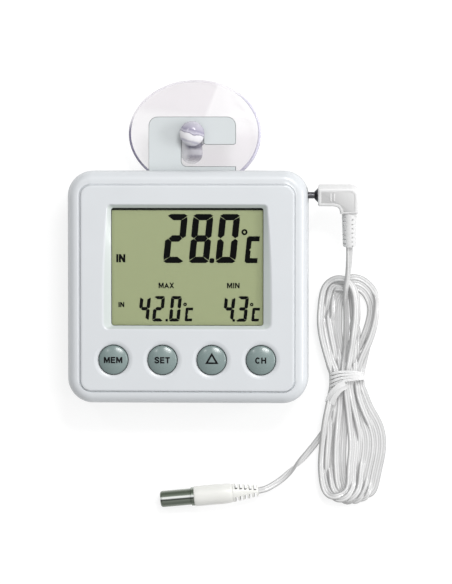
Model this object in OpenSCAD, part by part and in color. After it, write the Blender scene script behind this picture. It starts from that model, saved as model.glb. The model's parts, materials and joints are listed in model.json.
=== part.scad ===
// Maximum and minimum thermometer with a wired probe, lying on its back.
// Millimetres. +Z comes out of the display, +Y points to the hanger, +X to the jack.
// The origin is the middle of the case outline, on the back face.

/* [Case] */
// Width of the case
case_w = 90; // [86:1:96]
// Height of the case
case_h = 87; // [86:1:90]
// Depth of the case from back face to display face
case_t = 24; // [24:0.5:26]
// Corner radius of the case outline
corner_r = 9.5; // [8:0.5:10]
// Wall thickness of the shells
wall = 2; // [1.8:0.1:2.2]
// Inset of the raised front panel from the case outline
panel_inset = 4.8; // [4:0.2:6]

/* [Display] */
// Width of the window
window_w = 57; // [54:0.5:58]
// Height of the window
window_h = 44; // [42:0.5:45]
// Height of the window's middle above the case's middle
window_y = 7.6; // [7:0.2:8]

/* [Buttons] */
// Diameter of a button
button_d = 10.8; // [10:0.2:12]
// Distance from one button to the next
button_pitch = 18.4; // [17:0.2:18.6]
// Distance of the button row below the case's middle
button_drop = 27.2; // [26:0.2:28]
// Travel of a button
button_travel = 0.8; // [0.5:0.1:0.8]

/* [Hanger] */
// Height of the hanger plate's top above the case's middle
hanger_top = 63.7; // [62:0.5:65]
// Thickness of the hanger plate
hanger_t = 2.4; // [2:0.1:2.4]
// Width of the slot that the suction cup's neck slides in
slot_w = 8.4; // [8:0.1:8.6]

/* [Suction cup] */
// Width of the cup's bowed disc
cup_w = 50; // [44:1:52]
// Length of the cup's bowed disc, as it lies
cup_l = 41; // [38:1:42]
// Thickness of the disc
cup_t = 1.3; // [1:0.1:1.5]
// Diameter of the head
cup_head_d = 9.4; // [9:0.1:10]
// Diameter of the neck
cup_neck_d = 6.8; // [6:0.1:7]

/* [Probe and lead] */
// Diameter of the jack pin
pin_d = 2.5; // [2.5:0.1:2.5]
// Diameter of the cord
cord_d = 2.4; // [2:0.1:2.4]
// Diameter of the probe's steel cap
cap_d = 6.2; // [5:0.1:6.4]
// Diameter of the probe's plastic sleeve
sleeve_d = 7.7; // [7:0.1:7.7]
// How far the plug's leg droops, in degrees
plug_droop = 15; // [10:1:18]

/* [Hidden] */
$fn = 48;
EPS = 0.01;

// Levels, counted up from the back face
flange_z = 10.5;
parting_z = flange_z + wall;
face_z = case_t;
border_z = face_z - 0.5;
panel_under = face_z - wall;
board_t = 1.6;
board_z = panel_under - 6.6;
board_top = board_z + board_t;

// Front cover
border_round = 4.2;
panel_w = case_w - 2 * panel_inset;
panel_h = case_h - 2 * panel_inset;
panel_r = 5;
groove_w = 0.5;
groove_depth = 0.5;
lens_recess = 1.6;
lens_t = 1.2;
lens_w = window_w + 3;
lens_h = window_h + 3;
lens_top = face_z - lens_recess;
window_r = 1;
bevel_sides = [
    [29.6, 1.5], [30.1, -7], [31, -20], [31.4, -32], [31.8, -42.3], [31.6, -44],
    [30.8, -45.4], [29.2, -46.1]
];
boss_r = 2.8;
boss_spots = [[-39, -37.5], [39, -37.5], [-27, 38], [27, 38]];
button_gap = 0.2;
dish_w = 1.2;
dish_depth = 0.6;
board_boss_x = 34;
board_boss_ys = [-34, 22];
board_boss_r = 2;
screw_r = 1;
screw_clear = 0.05;
screw_head_r = 2.2;
screw_head_t = 1.2;

// Rear cover
box_w = 72;
box_bottom = -36;
box_top = 19;
box_r = 3;
back_wall = 3.2;

// Battery, its pocket and its door
battery_d = 10.5;
battery_l = 44.5;
battery_y = -24;
battery_z = 7.8;
pocket_w = 54;
pocket_l = 12.6;
pocket_z = 13.4;
pocket_wall = 1.2;
contact_t = 0.6;
contact_x = pocket_w / 2 - 0.1 - contact_t;
battery_x = contact_x - 0.05 - battery_l / 2;
door_w = 56;
door_top = -13.6;
door_z = 0.2;
door_t = 1.6;
tongue_w = 1.2;
tongue_t = 0.8;
door_gap = 0.2;

// Hanger plate, behind the top edge of the case
hanger_left = -15;
hanger_right = 17.8;
hanger_z = parting_z;
hanger_r = 3.4;
hanger_base_y = 35.5;
slot_left = -2.7;
slot_bottom = 45.1;
slot_end = 61.4;
arm_bottom = 53.2;
arm_r = 1;
slot_corner_r = 2;
peg_r = 1.5;
peg_xs = [-10, 12];
peg_y = 38.6;

// Suction cup
cup_x = 1.5;
cup_y = 57.3;
cup_drop = 9.3;
cup_top = cup_drop + cup_t;
cup_bow_r = (pow(cup_l / 2, 2) + pow(cup_drop, 2)) / (2 * cup_drop);
cup_hub_r = 5.5;
head_z = 17.4;
head_t = 3.6;

// Jack and plug
jack_y = 34.3;
jack_z = 17;
jack_w = 6.4;
jack_left = 33;
jack_right = 39.4;
jack_nose_r = 3;
pin_clear = 0.05;
pin_tip_x = 36.4;
shoulder_x = 48.7;
collar_x = 47.4;
collar_r = 1.5;
collar_base_r = 2.8;
plug_w = 7;
leg_x = 60.35;
leg_w = 6.8;
plug_top = 3.5;
plug_round = 3.2;
plug_fillet = 2.6;
plug_leg_end = -7.1;
relief_l = 12.6;
relief_top_d = 5.2;
relief_end_d = 4.6;
relief_end = plug_leg_end - relief_l;

// Probe, lying on the surface
probe_x = 25.8;
probe_y = -78;
probe_angle = 185.4;
probe_relief_l = 9.6;
probe_sleeve_l = 16.1;
probe_cap_l = 11.7;
cap_hidden = 7;
cap_wall = 0.5;
cap_step = 0.2;

// Route of the cord where it is not wound: from the plug down to the hank,
// then from the hank along the surface to the probe
lead_route = [
    [60.35, 15.3, 11.9], [60.3, 12, 11], [60.15, 8.8, 9.9], [59.85, 5.6, 8.7],
    [59.4, 2.4, 7.6], [58.95, -0.8, 6.6], [58.6, -4, 5.6]
];
tail_route = [
    [53, -51.6, 1.25], [50.5, -55.7, 1.25], [47.8, -59.5, 1.25], [44.7, -63.4, 1.25],
    [41.4, -67.1, 1.25], [38, -70.7, 1.25], [34.6, -73.8, 1.65], [31.1, -76.1, 2.7],
    [28.4, -77.4, 3.6], [25.8, -78, 3.85]
];

// Hank and its tie
hank_t = 7.4;
hank_top = [59.8, -7.1];
hank_top_r = 11.6;
hank_waist = [59.3, -35.8];
hank_waist_r = 6.2;
hank_low = [61.1, -69];
hank_low_r = 12.9;
tie_l = 6.6;
tie_t = 0.7;
tie_side = 0.4;

// ---------------------------------------------------------------- helpers

function unit(v) = v / norm(v);

// A point between b and c on a smooth curve through a, b, c and d
function on_curve(a, b, c, d, t) =
    0.5 * (2 * b + (c - a) * t + (2 * a - 5 * b + 4 * c - d) * t * t
        + (3 * b - a - 3 * c + d) * t * t * t);

function smooth_path(p, steps) = [
    for (i = [0 : len(p) - 2], k = [0 : steps - 1])
        on_curve(p[max(i - 1, 0)], p[i], p[i + 1], p[min(i + 2, len(p) - 1)], k / steps),
    p[len(p) - 1]
];

function tangent(p, i) = unit(p[min(i + 1, len(p) - 1)] - p[max(i - 1, 0)]);

function ring(p, i, r, sides, up) =
    let (t = tangent(p, i), u = unit(cross(t, up)), v = cross(u, t))
    [for (k = [0 : sides - 1]) p[i] + r * (cos(360 * k / sides) * u + sin(360 * k / sides) * v)];

// A round tube swept along a path as one closed polyhedron
module swept_tube(p, r, sides, up = [0, 0, 1]) {
    last = (len(p) - 1) * sides;
    points = [for (i = [0 : len(p) - 1]) each ring(p, i, r, sides, up)];
    walls = [
        for (i = [0 : len(p) - 2], k = [0 : sides - 1])
            let (a = i * sides + k, b = i * sides + (k + 1) % sides)
            [a, b, b + sides, a + sides]
    ];
    start_cap = [[for (k = [sides - 1 : -1 : 0]) k]];
    end_cap = [[for (k = [0 : sides - 1]) last + k]];
    polyhedron(points, concat(walls, start_cap, end_cap));
}

module at_corners(w, h, r) {
    for (x = [-1, 1], y = [-1, 1])
        translate([x * (w / 2 - r), y * (h / 2 - r), 0])
            children();
}

module rounded_rect(w, h, r) {
    square([w - 2 * r, h], center = true);
    square([w, h - 2 * r], center = true);
    at_corners(w, h, r)
        circle(r);
}

module slab(w, h, r, z0, z1) {
    translate([0, 0, z0])
        linear_extrude(z1 - z0)
            rounded_rect(w, h, r);
}

module block(x0, x1, y0, y1, z0, z1) {
    translate([x0, y0, z0])
        cube([x1 - x0, y1 - y0, z1 - z0]);
}

module rod(x, y, z0, z1, r) {
    translate([x, y, z0])
        cylinder(r = r, h = z1 - z0);
}

module along_x(x0, x1, r) {
    translate([x0, 0, 0])
        rotate([0, 90, 0])
            cylinder(r = r, h = x1 - x0);
}

// ---------------------------------------------------------------- case

// One corner of the front shell: a round block whose upper edge is rounded over
module shell_corner() {
    rotate_extrude($fn = 32)
        polygon(concat(
            [[0, parting_z], [corner_r, parting_z]],
            [for (a = [0 : 15 : 90])
                [corner_r - border_round + border_round * cos(a),
                 border_z - border_round + border_round * sin(a)]],
            [[0, border_z]]
        ));
}

// Outline of the window's bevel on the face, wider towards the bottom. Its points are
// distances from the middle line and heights above the window's top edge.
function bevel_outline() =
    let (top = window_y + window_h / 2, last = len(bevel_sides) - 1)
    concat(
        [for (p = bevel_sides) [p[0], top + p[1]]],
        [for (i = [last : -1 : 0]) [-bevel_sides[i][0], top + bevel_sides[i][1]]]
    );

module window_cut() {
    hull() {
        translate([0, 0, face_z])
            linear_extrude(1)
                polygon(bevel_outline());
        translate([0, window_y, lens_top])
            linear_extrude(0.1)
                rounded_rect(window_w, window_h, window_r);
    }
    translate([0, window_y, panel_under - 1])
        linear_extrude(lens_top - panel_under + 1 + EPS)
            square([lens_w + 0.3, lens_h + 0.3], center = true);
}

function button_x(i) = (i - 1.5) * button_pitch;

module button_holes() {
    for (i = [0 : 3]) {
        rod(button_x(i), -button_drop, panel_under - 1, face_z + 1, button_d / 2 + button_gap);
        translate([button_x(i), -button_drop, face_z - dish_depth])
            cylinder(r1 = button_d / 2 + button_gap, r2 = button_d / 2 + button_gap + dish_w,
                h = dish_depth + EPS);
    }
}

module front_cover() color("#e6eaec") {
    difference() {
        union() {
            difference() {
                hull()
                    at_corners(case_w, case_h, corner_r)
                        shell_corner();
                slab(panel_w + 2 * groove_w, panel_h + 2 * groove_w, panel_r + groove_w,
                    border_z - groove_depth, border_z + 1);
                slab(case_w - 2 * wall, case_h - 2 * wall, corner_r - wall, parting_z - 1, 19);
                slab(case_w - 4 * wall, case_h - 4 * wall, corner_r - 2 * wall, 18, panel_under);
            }
            slab(panel_w, panel_h, panel_r, panel_under, face_z);
            for (p = boss_spots)
                rod(p[0], p[1], parting_z, panel_under + EPS, boss_r);
            for (x = [-board_boss_x, board_boss_x], y = board_boss_ys)
                rod(x, y, board_top, panel_under + EPS, board_boss_r);
        }
        window_cut();
        button_holes();
        for (p = boss_spots)
            rod(p[0], p[1], parting_z - 1, panel_under - 1, screw_r + screw_clear);
        for (x = [-board_boss_x, board_boss_x], y = board_boss_ys)
            rod(x, y, board_top - 1, panel_under - 1, screw_r + screw_clear);
        translate([0, jack_y, jack_z])
            along_x(jack_right - 1, case_w / 2 + 1, jack_nose_r + 0.1);
        block(hanger_left - 0.2, hanger_right + 0.2, case_h / 2 - wall - 1, case_h / 2 + 1,
            parting_z - 1, hanger_z + hanger_t + 0.2);
    }
}

// Tube section of the battery pocket, open to the back
module pocket_shell(grow, z0, z1) {
    block(-pocket_w / 2 - grow, pocket_w / 2 + grow,
        battery_y - pocket_l / 2 - grow, battery_y + pocket_l / 2 + grow, z0, z1);
}

module door_cut() {
    block(-door_w / 2 - door_gap, door_w / 2 + door_gap, box_bottom - 1, door_top + door_gap,
        -1, door_z + door_t + door_gap);
    block(-door_w / 2 - tongue_w - door_gap, door_w / 2 + tongue_w + door_gap,
        box_bottom - 1, door_top + door_gap,
        door_z + door_t - tongue_t - door_gap, door_z + door_t + door_gap);
}

module rear_cover() color("#e2e7e9") {
    box_h = box_top - box_bottom;
    box_mid = (box_top + box_bottom) / 2;
    difference() {
        union() {
            slab(case_w, case_h, corner_r, flange_z, parting_z);
            translate([0, box_mid, 0])
                slab(box_w, box_h, box_r, 0, flange_z + EPS);
            for (x = peg_xs)
                rod(x, peg_y, parting_z - EPS, hanger_z + hanger_t, peg_r);
        }
        difference() {
            translate([0, box_mid, 0])
                slab(box_w - 2 * wall, box_h - 2 * wall, 1, back_wall, parting_z + 1);
            pocket_shell(pocket_wall, 0, parting_z + 2);
        }
        pocket_shell(0, -1, parting_z + 2);
        door_cut();
        for (p = boss_spots) {
            rod(p[0], p[1], flange_z - 1, parting_z + 1, screw_r + 0.2);
            rod(p[0], p[1], flange_z - 1, flange_z + screw_head_t, screw_head_r + 0.2);
        }
        for (i = [-3 : 3])
            block(i * 3.4 - 0.7, i * 3.4 + 0.7, 2, 12, -1, back_wall + 1);
    }
    difference() {
        pocket_shell(pocket_wall, parting_z - EPS, pocket_z + pocket_wall);
        pocket_shell(0, parting_z - 1, pocket_z);
        for (x = [-20, 20])
            block(x - 1.5, x + 1.5, battery_y + pocket_l / 2 - 1, battery_y + pocket_l / 2 + 2,
                12.6, pocket_z);
    }
}

module battery_door() color("#e2e7e9") {
    difference() {
        union() {
            block(-door_w / 2, door_w / 2, box_bottom, door_top, door_z, door_z + door_t);
            block(-door_w / 2 - tongue_w, door_w / 2 + tongue_w, box_bottom + 1, door_top,
                door_z + door_t - tongue_t, door_z + door_t);
        }
        for (i = [0 : 4])
            block(-7 + i, 7 - i, box_bottom + 4 + i * 1.6, box_bottom + 4.8 + i * 1.6,
                door_z - 1, door_z + 0.5);
    }
}

// Rounds a lower corner of the hanger's arm: side 1 for its left, -1 for its right
module corner_trim(side)
    scale([side, 1])
        difference() {
            translate([-EPS, -EPS])
                square(arm_r + EPS);
            translate([arm_r, arm_r])
                circle(arm_r);
        }

module hanger_outline() {
    difference() {
        union() {
            translate([hanger_left + hanger_r, hanger_base_y])
                square([hanger_right - hanger_left - 2 * hanger_r, hanger_top - hanger_base_y]);
            translate([hanger_left, hanger_base_y])
                square([hanger_right - hanger_left, hanger_top - hanger_r - hanger_base_y]);
            for (x = [hanger_left + hanger_r, hanger_right - hanger_r])
                translate([x, hanger_top - hanger_r])
                    circle(hanger_r);
        }
        translate([slot_left, slot_bottom + slot_corner_r])
            square([slot_w, slot_end - slot_w / 2 - slot_bottom - slot_corner_r]);
        translate([slot_left + slot_w / 2, slot_end - slot_w / 2])
            circle(slot_w / 2);
        translate([slot_left + slot_corner_r, slot_bottom])
            square([hanger_right - slot_left, arm_bottom - slot_bottom]);
        translate([slot_left + slot_corner_r, slot_bottom + slot_corner_r])
            circle(slot_corner_r);
        translate([slot_left + slot_w, arm_bottom])
            corner_trim(1);
        translate([hanger_right, arm_bottom])
            corner_trim(-1);
        for (x = peg_xs)
            translate([x, peg_y])
                circle(peg_r + 0.05);
    }
}

module hanger_plate() color("#d7dedf")
    translate([0, 0, hanger_z])
        linear_extrude(hanger_t)
            hanger_outline();

module case_screws() color("#9fa3a6")
    for (p = boss_spots)
        translate([p[0], p[1], 0]) {
            difference() {
                rod(0, 0, flange_z - 0.1, flange_z + screw_head_t, screw_head_r);
                block(-1.3, 1.3, -0.25, 0.25, flange_z - 1, flange_z + 0.5);
                block(-0.25, 0.25, -1.3, 1.3, flange_z - 1, flange_z + 0.5);
            }
            rod(0, 0, flange_z + screw_head_t - EPS, parting_z + 6, screw_r);
        }

// ---------------------------------------------------------------- display

module display_plate(w, h, z0, z1) {
    block(-w / 2, w / 2, window_y - h / 2, window_y + h / 2, z0, z1);
}

lcd_w = lens_w;
lcd_h = lens_h;
lcd_z = board_top + 1.9;
lcd_t = 2;
holder_w = lcd_w + 3.4;
holder_h = lcd_h + 3.2;

module window_lens() color("#f4f8f8", 0.3)
    display_plate(lens_w, lens_h, lens_top - lens_t, lens_top);

module lcd_panel() color("#a6ae86")
    display_plate(lcd_w, lcd_h, lcd_z, lcd_z + lcd_t);

module lcd_holder() color("#f0f0ee")
    difference() {
        display_plate(holder_w, holder_h, board_top, lens_top - lens_t);
        display_plate(lcd_w + 0.2, lcd_h + 0.2, board_top - 1, lens_top);
    }

module zebra_strip() color("#3a3a3c")
    block(-lcd_w / 2 + 3, lcd_w / 2 - 3, window_y - lcd_h / 2 + 0.3, window_y - lcd_h / 2 + 2.3,
        board_top, lcd_z);

// ---------------------------------------------------------------- electronics

module circuit_board() color("#2f6b3c")
    difference() {
        block(-36, 36, -38, 34.5, board_z, board_top);
        block(jack_left - 0.05, 37, jack_y - jack_w / 2 - 0.05, 36, board_z - 1, board_top + 1);
        for (x = [-board_boss_x, board_boss_x], y = board_boss_ys)
            rod(x, y, board_z - 1, board_top + 1, screw_r + 0.1);
    }

module chip_blob() color("#1c1c1e")
    translate([0, 8, board_z])
        rotate([180, 0, 0])
            rotate_extrude()
                polygon([[0, 0], [5, 0], [4.6, 0.7], [3.4, 1.2], [1.6, 1.5], [0, 1.5]]);

module quartz_crystal() color("#c8ccd0")
    translate([12, 12, board_z - 1])
        along_x(0, 6, 1);

// Chip resistors and capacitors on the back of the board
module board_components() color("#b08a4c") {
    for (i = [0 : 3])
        block(-16 + i * 4, -14 + i * 4, 18, 19.2, board_z - 0.6, board_z);
    for (i = [0 : 2])
        block(14, 17.2, -4 + i * 4, -2.4 + i * 4, board_z - 1, board_z);
    rod(-20, 4, board_z - 2.6, board_z, 2.5);
}

// Thermistor bead on two wires, near the vents
module air_sensor() color("#2b2420") {
    translate([0, 0, board_z - 5])
        sphere(r = 1.3);
    for (x = [-0.7, 0.7])
        rod(x, 0, board_z - 5, board_z, 0.3);
}

module key_switches() color("#4a4d50")
    for (i = [0 : 3]) {
        block(button_x(i) - 3, button_x(i) + 3, -button_drop - 3, -button_drop + 3,
            board_top, board_top + 1.5);
        rod(button_x(i), -button_drop, board_top + 1.5 - EPS, board_top + 1.9, 1.5);
    }

module jack_socket() color("#222426")
    translate([0, jack_y, jack_z])
        difference() {
            union() {
                block(jack_left, jack_right, -jack_w / 2, jack_w / 2,
                    -jack_w / 2 + 0.4, jack_w / 2);
                along_x(jack_right - EPS, case_w / 2 - 0.4, jack_nose_r);
            }
            along_x(jack_left + 2, case_w / 2 + 1, pin_d / 2 + pin_clear);
        }

module board_screws() color("#9fa3a6")
    for (x = [-board_boss_x, board_boss_x], y = board_boss_ys) {
        rod(x, y, board_z - 1.2, board_z, 1.9);
        rod(x, y, board_z - EPS, board_top + 3.5, screw_r);
    }

// ---------------------------------------------------------------- battery

module battery() color("#5f6f7a")
    translate([battery_x, battery_y, battery_z]) {
        along_x(-battery_l / 2, battery_l / 2 - 0.8, battery_d / 2);
        along_x(battery_l / 2 - 0.81, battery_l / 2, 1.9);
    }

module positive_contact() color("#c9ccd0")
    block(contact_x, contact_x + contact_t, battery_y - 4, battery_y + 4, 3.6, 12.4);

spring_x0 = -contact_x;
spring_x1 = battery_x - battery_l / 2;
spring_wire = 0.3;
spring_turns = 5;
spring_path = [
    for (a = [0 : 30 : 360 * spring_turns])
        let (s = a / (360 * spring_turns))
        [spring_x0 + 0.4 + s * (spring_x1 - spring_x0 - 0.8),
         battery_y + (3.6 - 1.4 * s) * cos(a),
         battery_z + (3.6 - 1.4 * s) * sin(a)]
];

module negative_contact() color("#c9ccd0")
    block(-contact_x - contact_t, -contact_x, battery_y - 4, battery_y + 4, 3.6, 12.4);

module negative_spring() color("#c9ccd0")
    swept_tube(spring_path, spring_wire, 6, [1, 0, 0]);

// Two wires from the contacts, out of the pocket and up to the board
module battery_wires() color("#b03a34")
    for (s = [-1, 1])
        swept_tube(
            smooth_path([
                [s * 20, battery_y + pocket_l / 2 - 0.2, 13], [s * 20, -15, 13],
                [s * 19.4, -12.5, 13.2], [s * 18.8, -11, 14.2], [s * 18.6, -10.6, board_z - 0.05]
            ], 3),
            0.35, 6, [1, 0, 0]);

// ---------------------------------------------------------------- buttons

button_base = panel_under - 1.9;
dome_rise = 1.25;
dome_ball_r = 12.8;

// Height of a button's ball-shaped top at distance r from its middle
function dome_z(r) =
    face_z + dome_rise - dome_ball_r + sqrt(dome_ball_r * dome_ball_r - r * r);

module button(i) color("#8d9f9c")
    translate([button_x(i), -button_drop, 0])
        rotate_extrude()
            polygon([
                [0, board_top + 2.8], [1.3, board_top + 2.8], [1.3, button_base],
                [button_d / 2 + 0.9, button_base], [button_d / 2 + 0.9, button_base + 0.8],
                [button_d / 2, button_base + 0.8], [button_d / 2, dome_z(button_d / 2)],
                [button_d / 2 - 0.2, dome_z(button_d / 2 - 0.2) + 0.05], [4, dome_z(4)], [2.7, dome_z(2.7)],
                [1.4, dome_z(1.4)], [0, dome_z(0)]
            ]);

module button_mem() button(0);
module button_set() button(1);
module button_up() button(2);
module button_channel() button(3);

// ---------------------------------------------------------------- suction cup

function ellipse(w, l) = [for (a = [0 : 7.5 : 352.5]) [w / 2 * cos(a), l / 2 * sin(a)]];

module suction_cup() color("#f3eef6", 0.45)
    translate([cup_x, cup_y, 0]) {
        intersection() {
            linear_extrude(cup_top + 1)
                polygon(ellipse(cup_w, cup_l));
            translate([0, 0, cup_top - cup_bow_r - cup_t])
                difference() {
                    along_x_mid(cup_w + 2, cup_bow_r + cup_t);
                    along_x_mid(cup_w + 4, cup_bow_r);
                }
        }
        rotate_extrude()
            polygon([
                [0, cup_top - 0.6], [cup_hub_r, cup_top - 0.6], [cup_hub_r, cup_top - 0.3],
                [cup_neck_d / 2, cup_top + 1.4], [cup_neck_d / 2 - 0.4, head_z - 0.4],
                [cup_neck_d / 2 - 0.4, head_z], [cup_head_d / 2 - 0.3, head_z],
                [cup_head_d / 2, head_z + 0.5], [cup_head_d / 2, head_z + 2],
                [cup_head_d / 2 - 1, head_z + 3.1], [cup_head_d / 2 - 2.6, head_z + head_t],
                [0, head_z + head_t]
            ]);
    }

module along_x_mid(l, r) {
    along_x(-l / 2, l / 2, r, $fn = 96);
}

// ---------------------------------------------------------------- plug

// The plug turns in the jack, so its leg droops below the level
module plug_place() {
    translate([0, jack_y, jack_z])
        rotate([plug_droop, 0, 0])
            children();
}

// Fillet of radius r below and left of a corner at the origin
module inner_corner(r)
    difference() {
        translate([-r, -r])
            square(r + 0.1);
        translate([-r, -r])
            circle(r);
    }

module plug_body() color("#e9e9e9")
    plug_place() {
        difference() {
            union() {
                block(shoulder_x, leg_x + leg_w / 2 - plug_round, -plug_w / 2, plug_w / 2,
                    -plug_w / 2, plug_w / 2);
                block(leg_x - leg_w / 2, leg_x + leg_w / 2, plug_leg_end, plug_top - plug_round,
                    -plug_w / 2, plug_w / 2);
                translate([leg_x + leg_w / 2 - plug_round, plug_top - plug_round, -plug_w / 2])
                    cylinder(r = plug_round, h = plug_w);
                translate([leg_x - leg_w / 2, -plug_w / 2, -plug_w / 2])
                    linear_extrude(plug_w)
                        inner_corner(plug_fillet);
            }
            block(shoulder_x + 2, leg_x + 1.6, -1.6, 1.6, plug_w / 2 - 0.3, plug_w);
            block(leg_x - 1.6, leg_x + 1.6, plug_leg_end + 2, 1.6, plug_w / 2 - 0.3, plug_w);
        }
    }

module plug_collar() color("#4a4b4d")
    plug_place()
        translate([collar_x, 0, 0])
            rotate([0, 90, 0])
                cylinder(r1 = collar_r, r2 = collar_base_r, h = shoulder_x - collar_x);

module plug_sleeve() color("#8d8f92")
    plug_place()
        along_x(pin_tip_x + 4.2, collar_x, pin_d / 2);

module plug_insulator() color("#1b1b1d")
    plug_place()
        along_x(pin_tip_x + 3.4, pin_tip_x + 4.2, pin_d / 2 - 0.05);

module plug_tip() color("#8d8f92")
    plug_place()
        translate([pin_tip_x, 0, 0])
            rotate([0, 90, 0])
                rotate_extrude()
                    polygon([[0, 0], [0.5, 0.1], [1.2, 1.4], [0.85, 2.3], [1.2, 3.4], [0, 3.4]]);

// A ribbed, tapering relief: rings of a larger diameter on a thinner core
module ribbed_relief(length, d0, d1, core, ribs) {
    rotate_extrude()
        polygon(concat(
            [[0, 0]],
            [for (i = [0 : ribs - 1], k = [0 : 3])
                let (s = (i + [0, 0.62, 0.62, 1][k]) / ribs, d = d0 + (d1 - d0) * s)
                [(k < 2 ? d : d * core) / 2, s * length]],
            [[0, length]]
        ));
}

module plug_relief() color("#ececec")
    plug_place()
        translate([leg_x, plug_leg_end, 0])
            rotate([90, 0, 0])
                ribbed_relief(relief_l, relief_top_d, relief_end_d, 0.8, 7);

// ---------------------------------------------------------------- cord

module cord_lead() color("#e8e8e8")
    swept_tube(smooth_path(lead_route, 2), cord_d / 2, 8);

module cord_tail() color("#e8e8e8")
    swept_tube(smooth_path(tail_route, 2), cord_d / 2, 8);

module hank_lobe(a, ra, b, rb) {
    hull() {
        translate(a)
            circle(ra);
        translate(b)
            circle(rb);
    }
}

// A band round the waist, larger than the tie's opening by grow on each side
module tie_band(grow, longer) {
    half = hank_waist_r + tie_side + grow;
    block(hank_waist[0] - half, hank_waist[0] + half,
        hank_waist[1] - tie_l / 2 - longer, hank_waist[1] + tie_l / 2 + longer,
        tie_t - grow, hank_t - tie_t + grow);
}

module cord_hank() color("#e8e8e8")
    difference() {
        linear_extrude(hank_t) {
            hank_lobe(hank_top, hank_top_r, hank_waist, hank_waist_r);
            hank_lobe(hank_low, hank_low_r, hank_waist, hank_waist_r);
        }
        difference() {
            tie_band(5, 0);
            tie_band(0, 1);
        }
    }

module cord_tie() color("#f2f2f2")
    difference() {
        tie_band(tie_t, 0);
        tie_band(0, 1);
    }

// ---------------------------------------------------------------- probe

module probe_place() {
    translate([probe_x, probe_y, sleeve_d / 2])
        rotate([0, 0, probe_angle])
            children();
}

module probe_relief() color("#eceae4")
    probe_place()
        rotate([0, 90, 0])
            ribbed_relief(probe_relief_l, 4, 7, 0.82, 5);

module probe_sleeve() color("#eeeeea")
    probe_place()
        difference() {
            along_x(probe_relief_l, probe_relief_l + probe_sleeve_l, sleeve_d / 2);
            along_x(probe_relief_l + probe_sleeve_l - cap_hidden, 40, cap_d / 2 - cap_step);
        }

module probe_cap() color("#9aa096")
    probe_place()
        translate([probe_relief_l + probe_sleeve_l - cap_hidden, 0, 0])
            rotate([0, 90, 0])
                rotate_extrude()
                    polygon([
                        [cap_d / 2 - cap_wall, 0], [cap_d / 2 - cap_step, 0],
                        [cap_d / 2 - cap_step, cap_hidden], [cap_d / 2, cap_hidden],
                        [cap_d / 2, cap_hidden + probe_cap_l - 0.8],
                        [cap_d / 2 - 0.3, cap_hidden + probe_cap_l - 0.2],
                        [cap_d / 2 - 0.9, cap_hidden + probe_cap_l],
                        [0, cap_hidden + probe_cap_l],
                        [0, cap_hidden + probe_cap_l - cap_wall],
                        [cap_d / 2 - cap_wall, cap_hidden + probe_cap_l - cap_wall - 0.4]
                    ]);

module probe_bead() color("#3a2a20")
    probe_place() {
        translate([probe_relief_l + probe_sleeve_l + probe_cap_l - 3, 0, 0])
            sphere(r = 1.3);
        for (y = [-0.6, 0.6])
            translate([0, y, 0])
                along_x(probe_relief_l + probe_sleeve_l - cap_hidden,
                    probe_relief_l + probe_sleeve_l + probe_cap_l - 3, 0.3);
    }

front_cover();
rear_cover();
battery_door();
hanger_plate();
window_lens();
lcd_panel();
lcd_holder();
zebra_strip();
circuit_board();
chip_blob();
quartz_crystal();
board_components();
air_sensor();
key_switches();
jack_socket();
board_screws();
case_screws();
battery();
positive_contact();
negative_contact();
negative_spring();
battery_wires();
button_mem();
button_set();
button_up();
button_channel();
suction_cup();
plug_body();
plug_collar();
plug_sleeve();
plug_insulator();
plug_tip();
plug_relief();
cord_lead();
cord_hank();
cord_tie();
cord_tail();
probe_relief();
probe_sleeve();
probe_cap();
probe_bead();
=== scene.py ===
import json
import math

import bmesh
import bpy
import numpy as np
from mathutils import Matrix, Vector

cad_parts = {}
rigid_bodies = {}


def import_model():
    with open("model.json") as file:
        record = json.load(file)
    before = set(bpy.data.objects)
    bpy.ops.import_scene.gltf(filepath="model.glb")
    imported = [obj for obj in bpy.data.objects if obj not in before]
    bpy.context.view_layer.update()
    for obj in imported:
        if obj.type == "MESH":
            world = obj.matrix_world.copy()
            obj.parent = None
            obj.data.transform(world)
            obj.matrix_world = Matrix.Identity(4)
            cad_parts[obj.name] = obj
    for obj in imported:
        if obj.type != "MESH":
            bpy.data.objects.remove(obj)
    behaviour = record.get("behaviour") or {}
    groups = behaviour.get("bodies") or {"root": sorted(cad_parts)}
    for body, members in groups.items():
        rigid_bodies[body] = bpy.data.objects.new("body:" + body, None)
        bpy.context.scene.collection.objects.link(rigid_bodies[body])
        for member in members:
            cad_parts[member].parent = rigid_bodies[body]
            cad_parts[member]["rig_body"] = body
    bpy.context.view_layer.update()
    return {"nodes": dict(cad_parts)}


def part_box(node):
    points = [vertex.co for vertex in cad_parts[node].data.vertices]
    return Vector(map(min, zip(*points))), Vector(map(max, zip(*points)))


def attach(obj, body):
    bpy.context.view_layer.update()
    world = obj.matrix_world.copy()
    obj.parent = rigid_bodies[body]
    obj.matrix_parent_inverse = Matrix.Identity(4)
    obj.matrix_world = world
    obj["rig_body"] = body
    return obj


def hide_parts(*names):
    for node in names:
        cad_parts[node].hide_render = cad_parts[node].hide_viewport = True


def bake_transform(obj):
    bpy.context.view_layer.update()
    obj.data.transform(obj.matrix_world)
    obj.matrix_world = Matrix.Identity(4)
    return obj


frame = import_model()

MM = 0.001
scene = bpy.context.scene
collection = scene.collection

# ------------------------------------------------------------------ places from the frame

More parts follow.
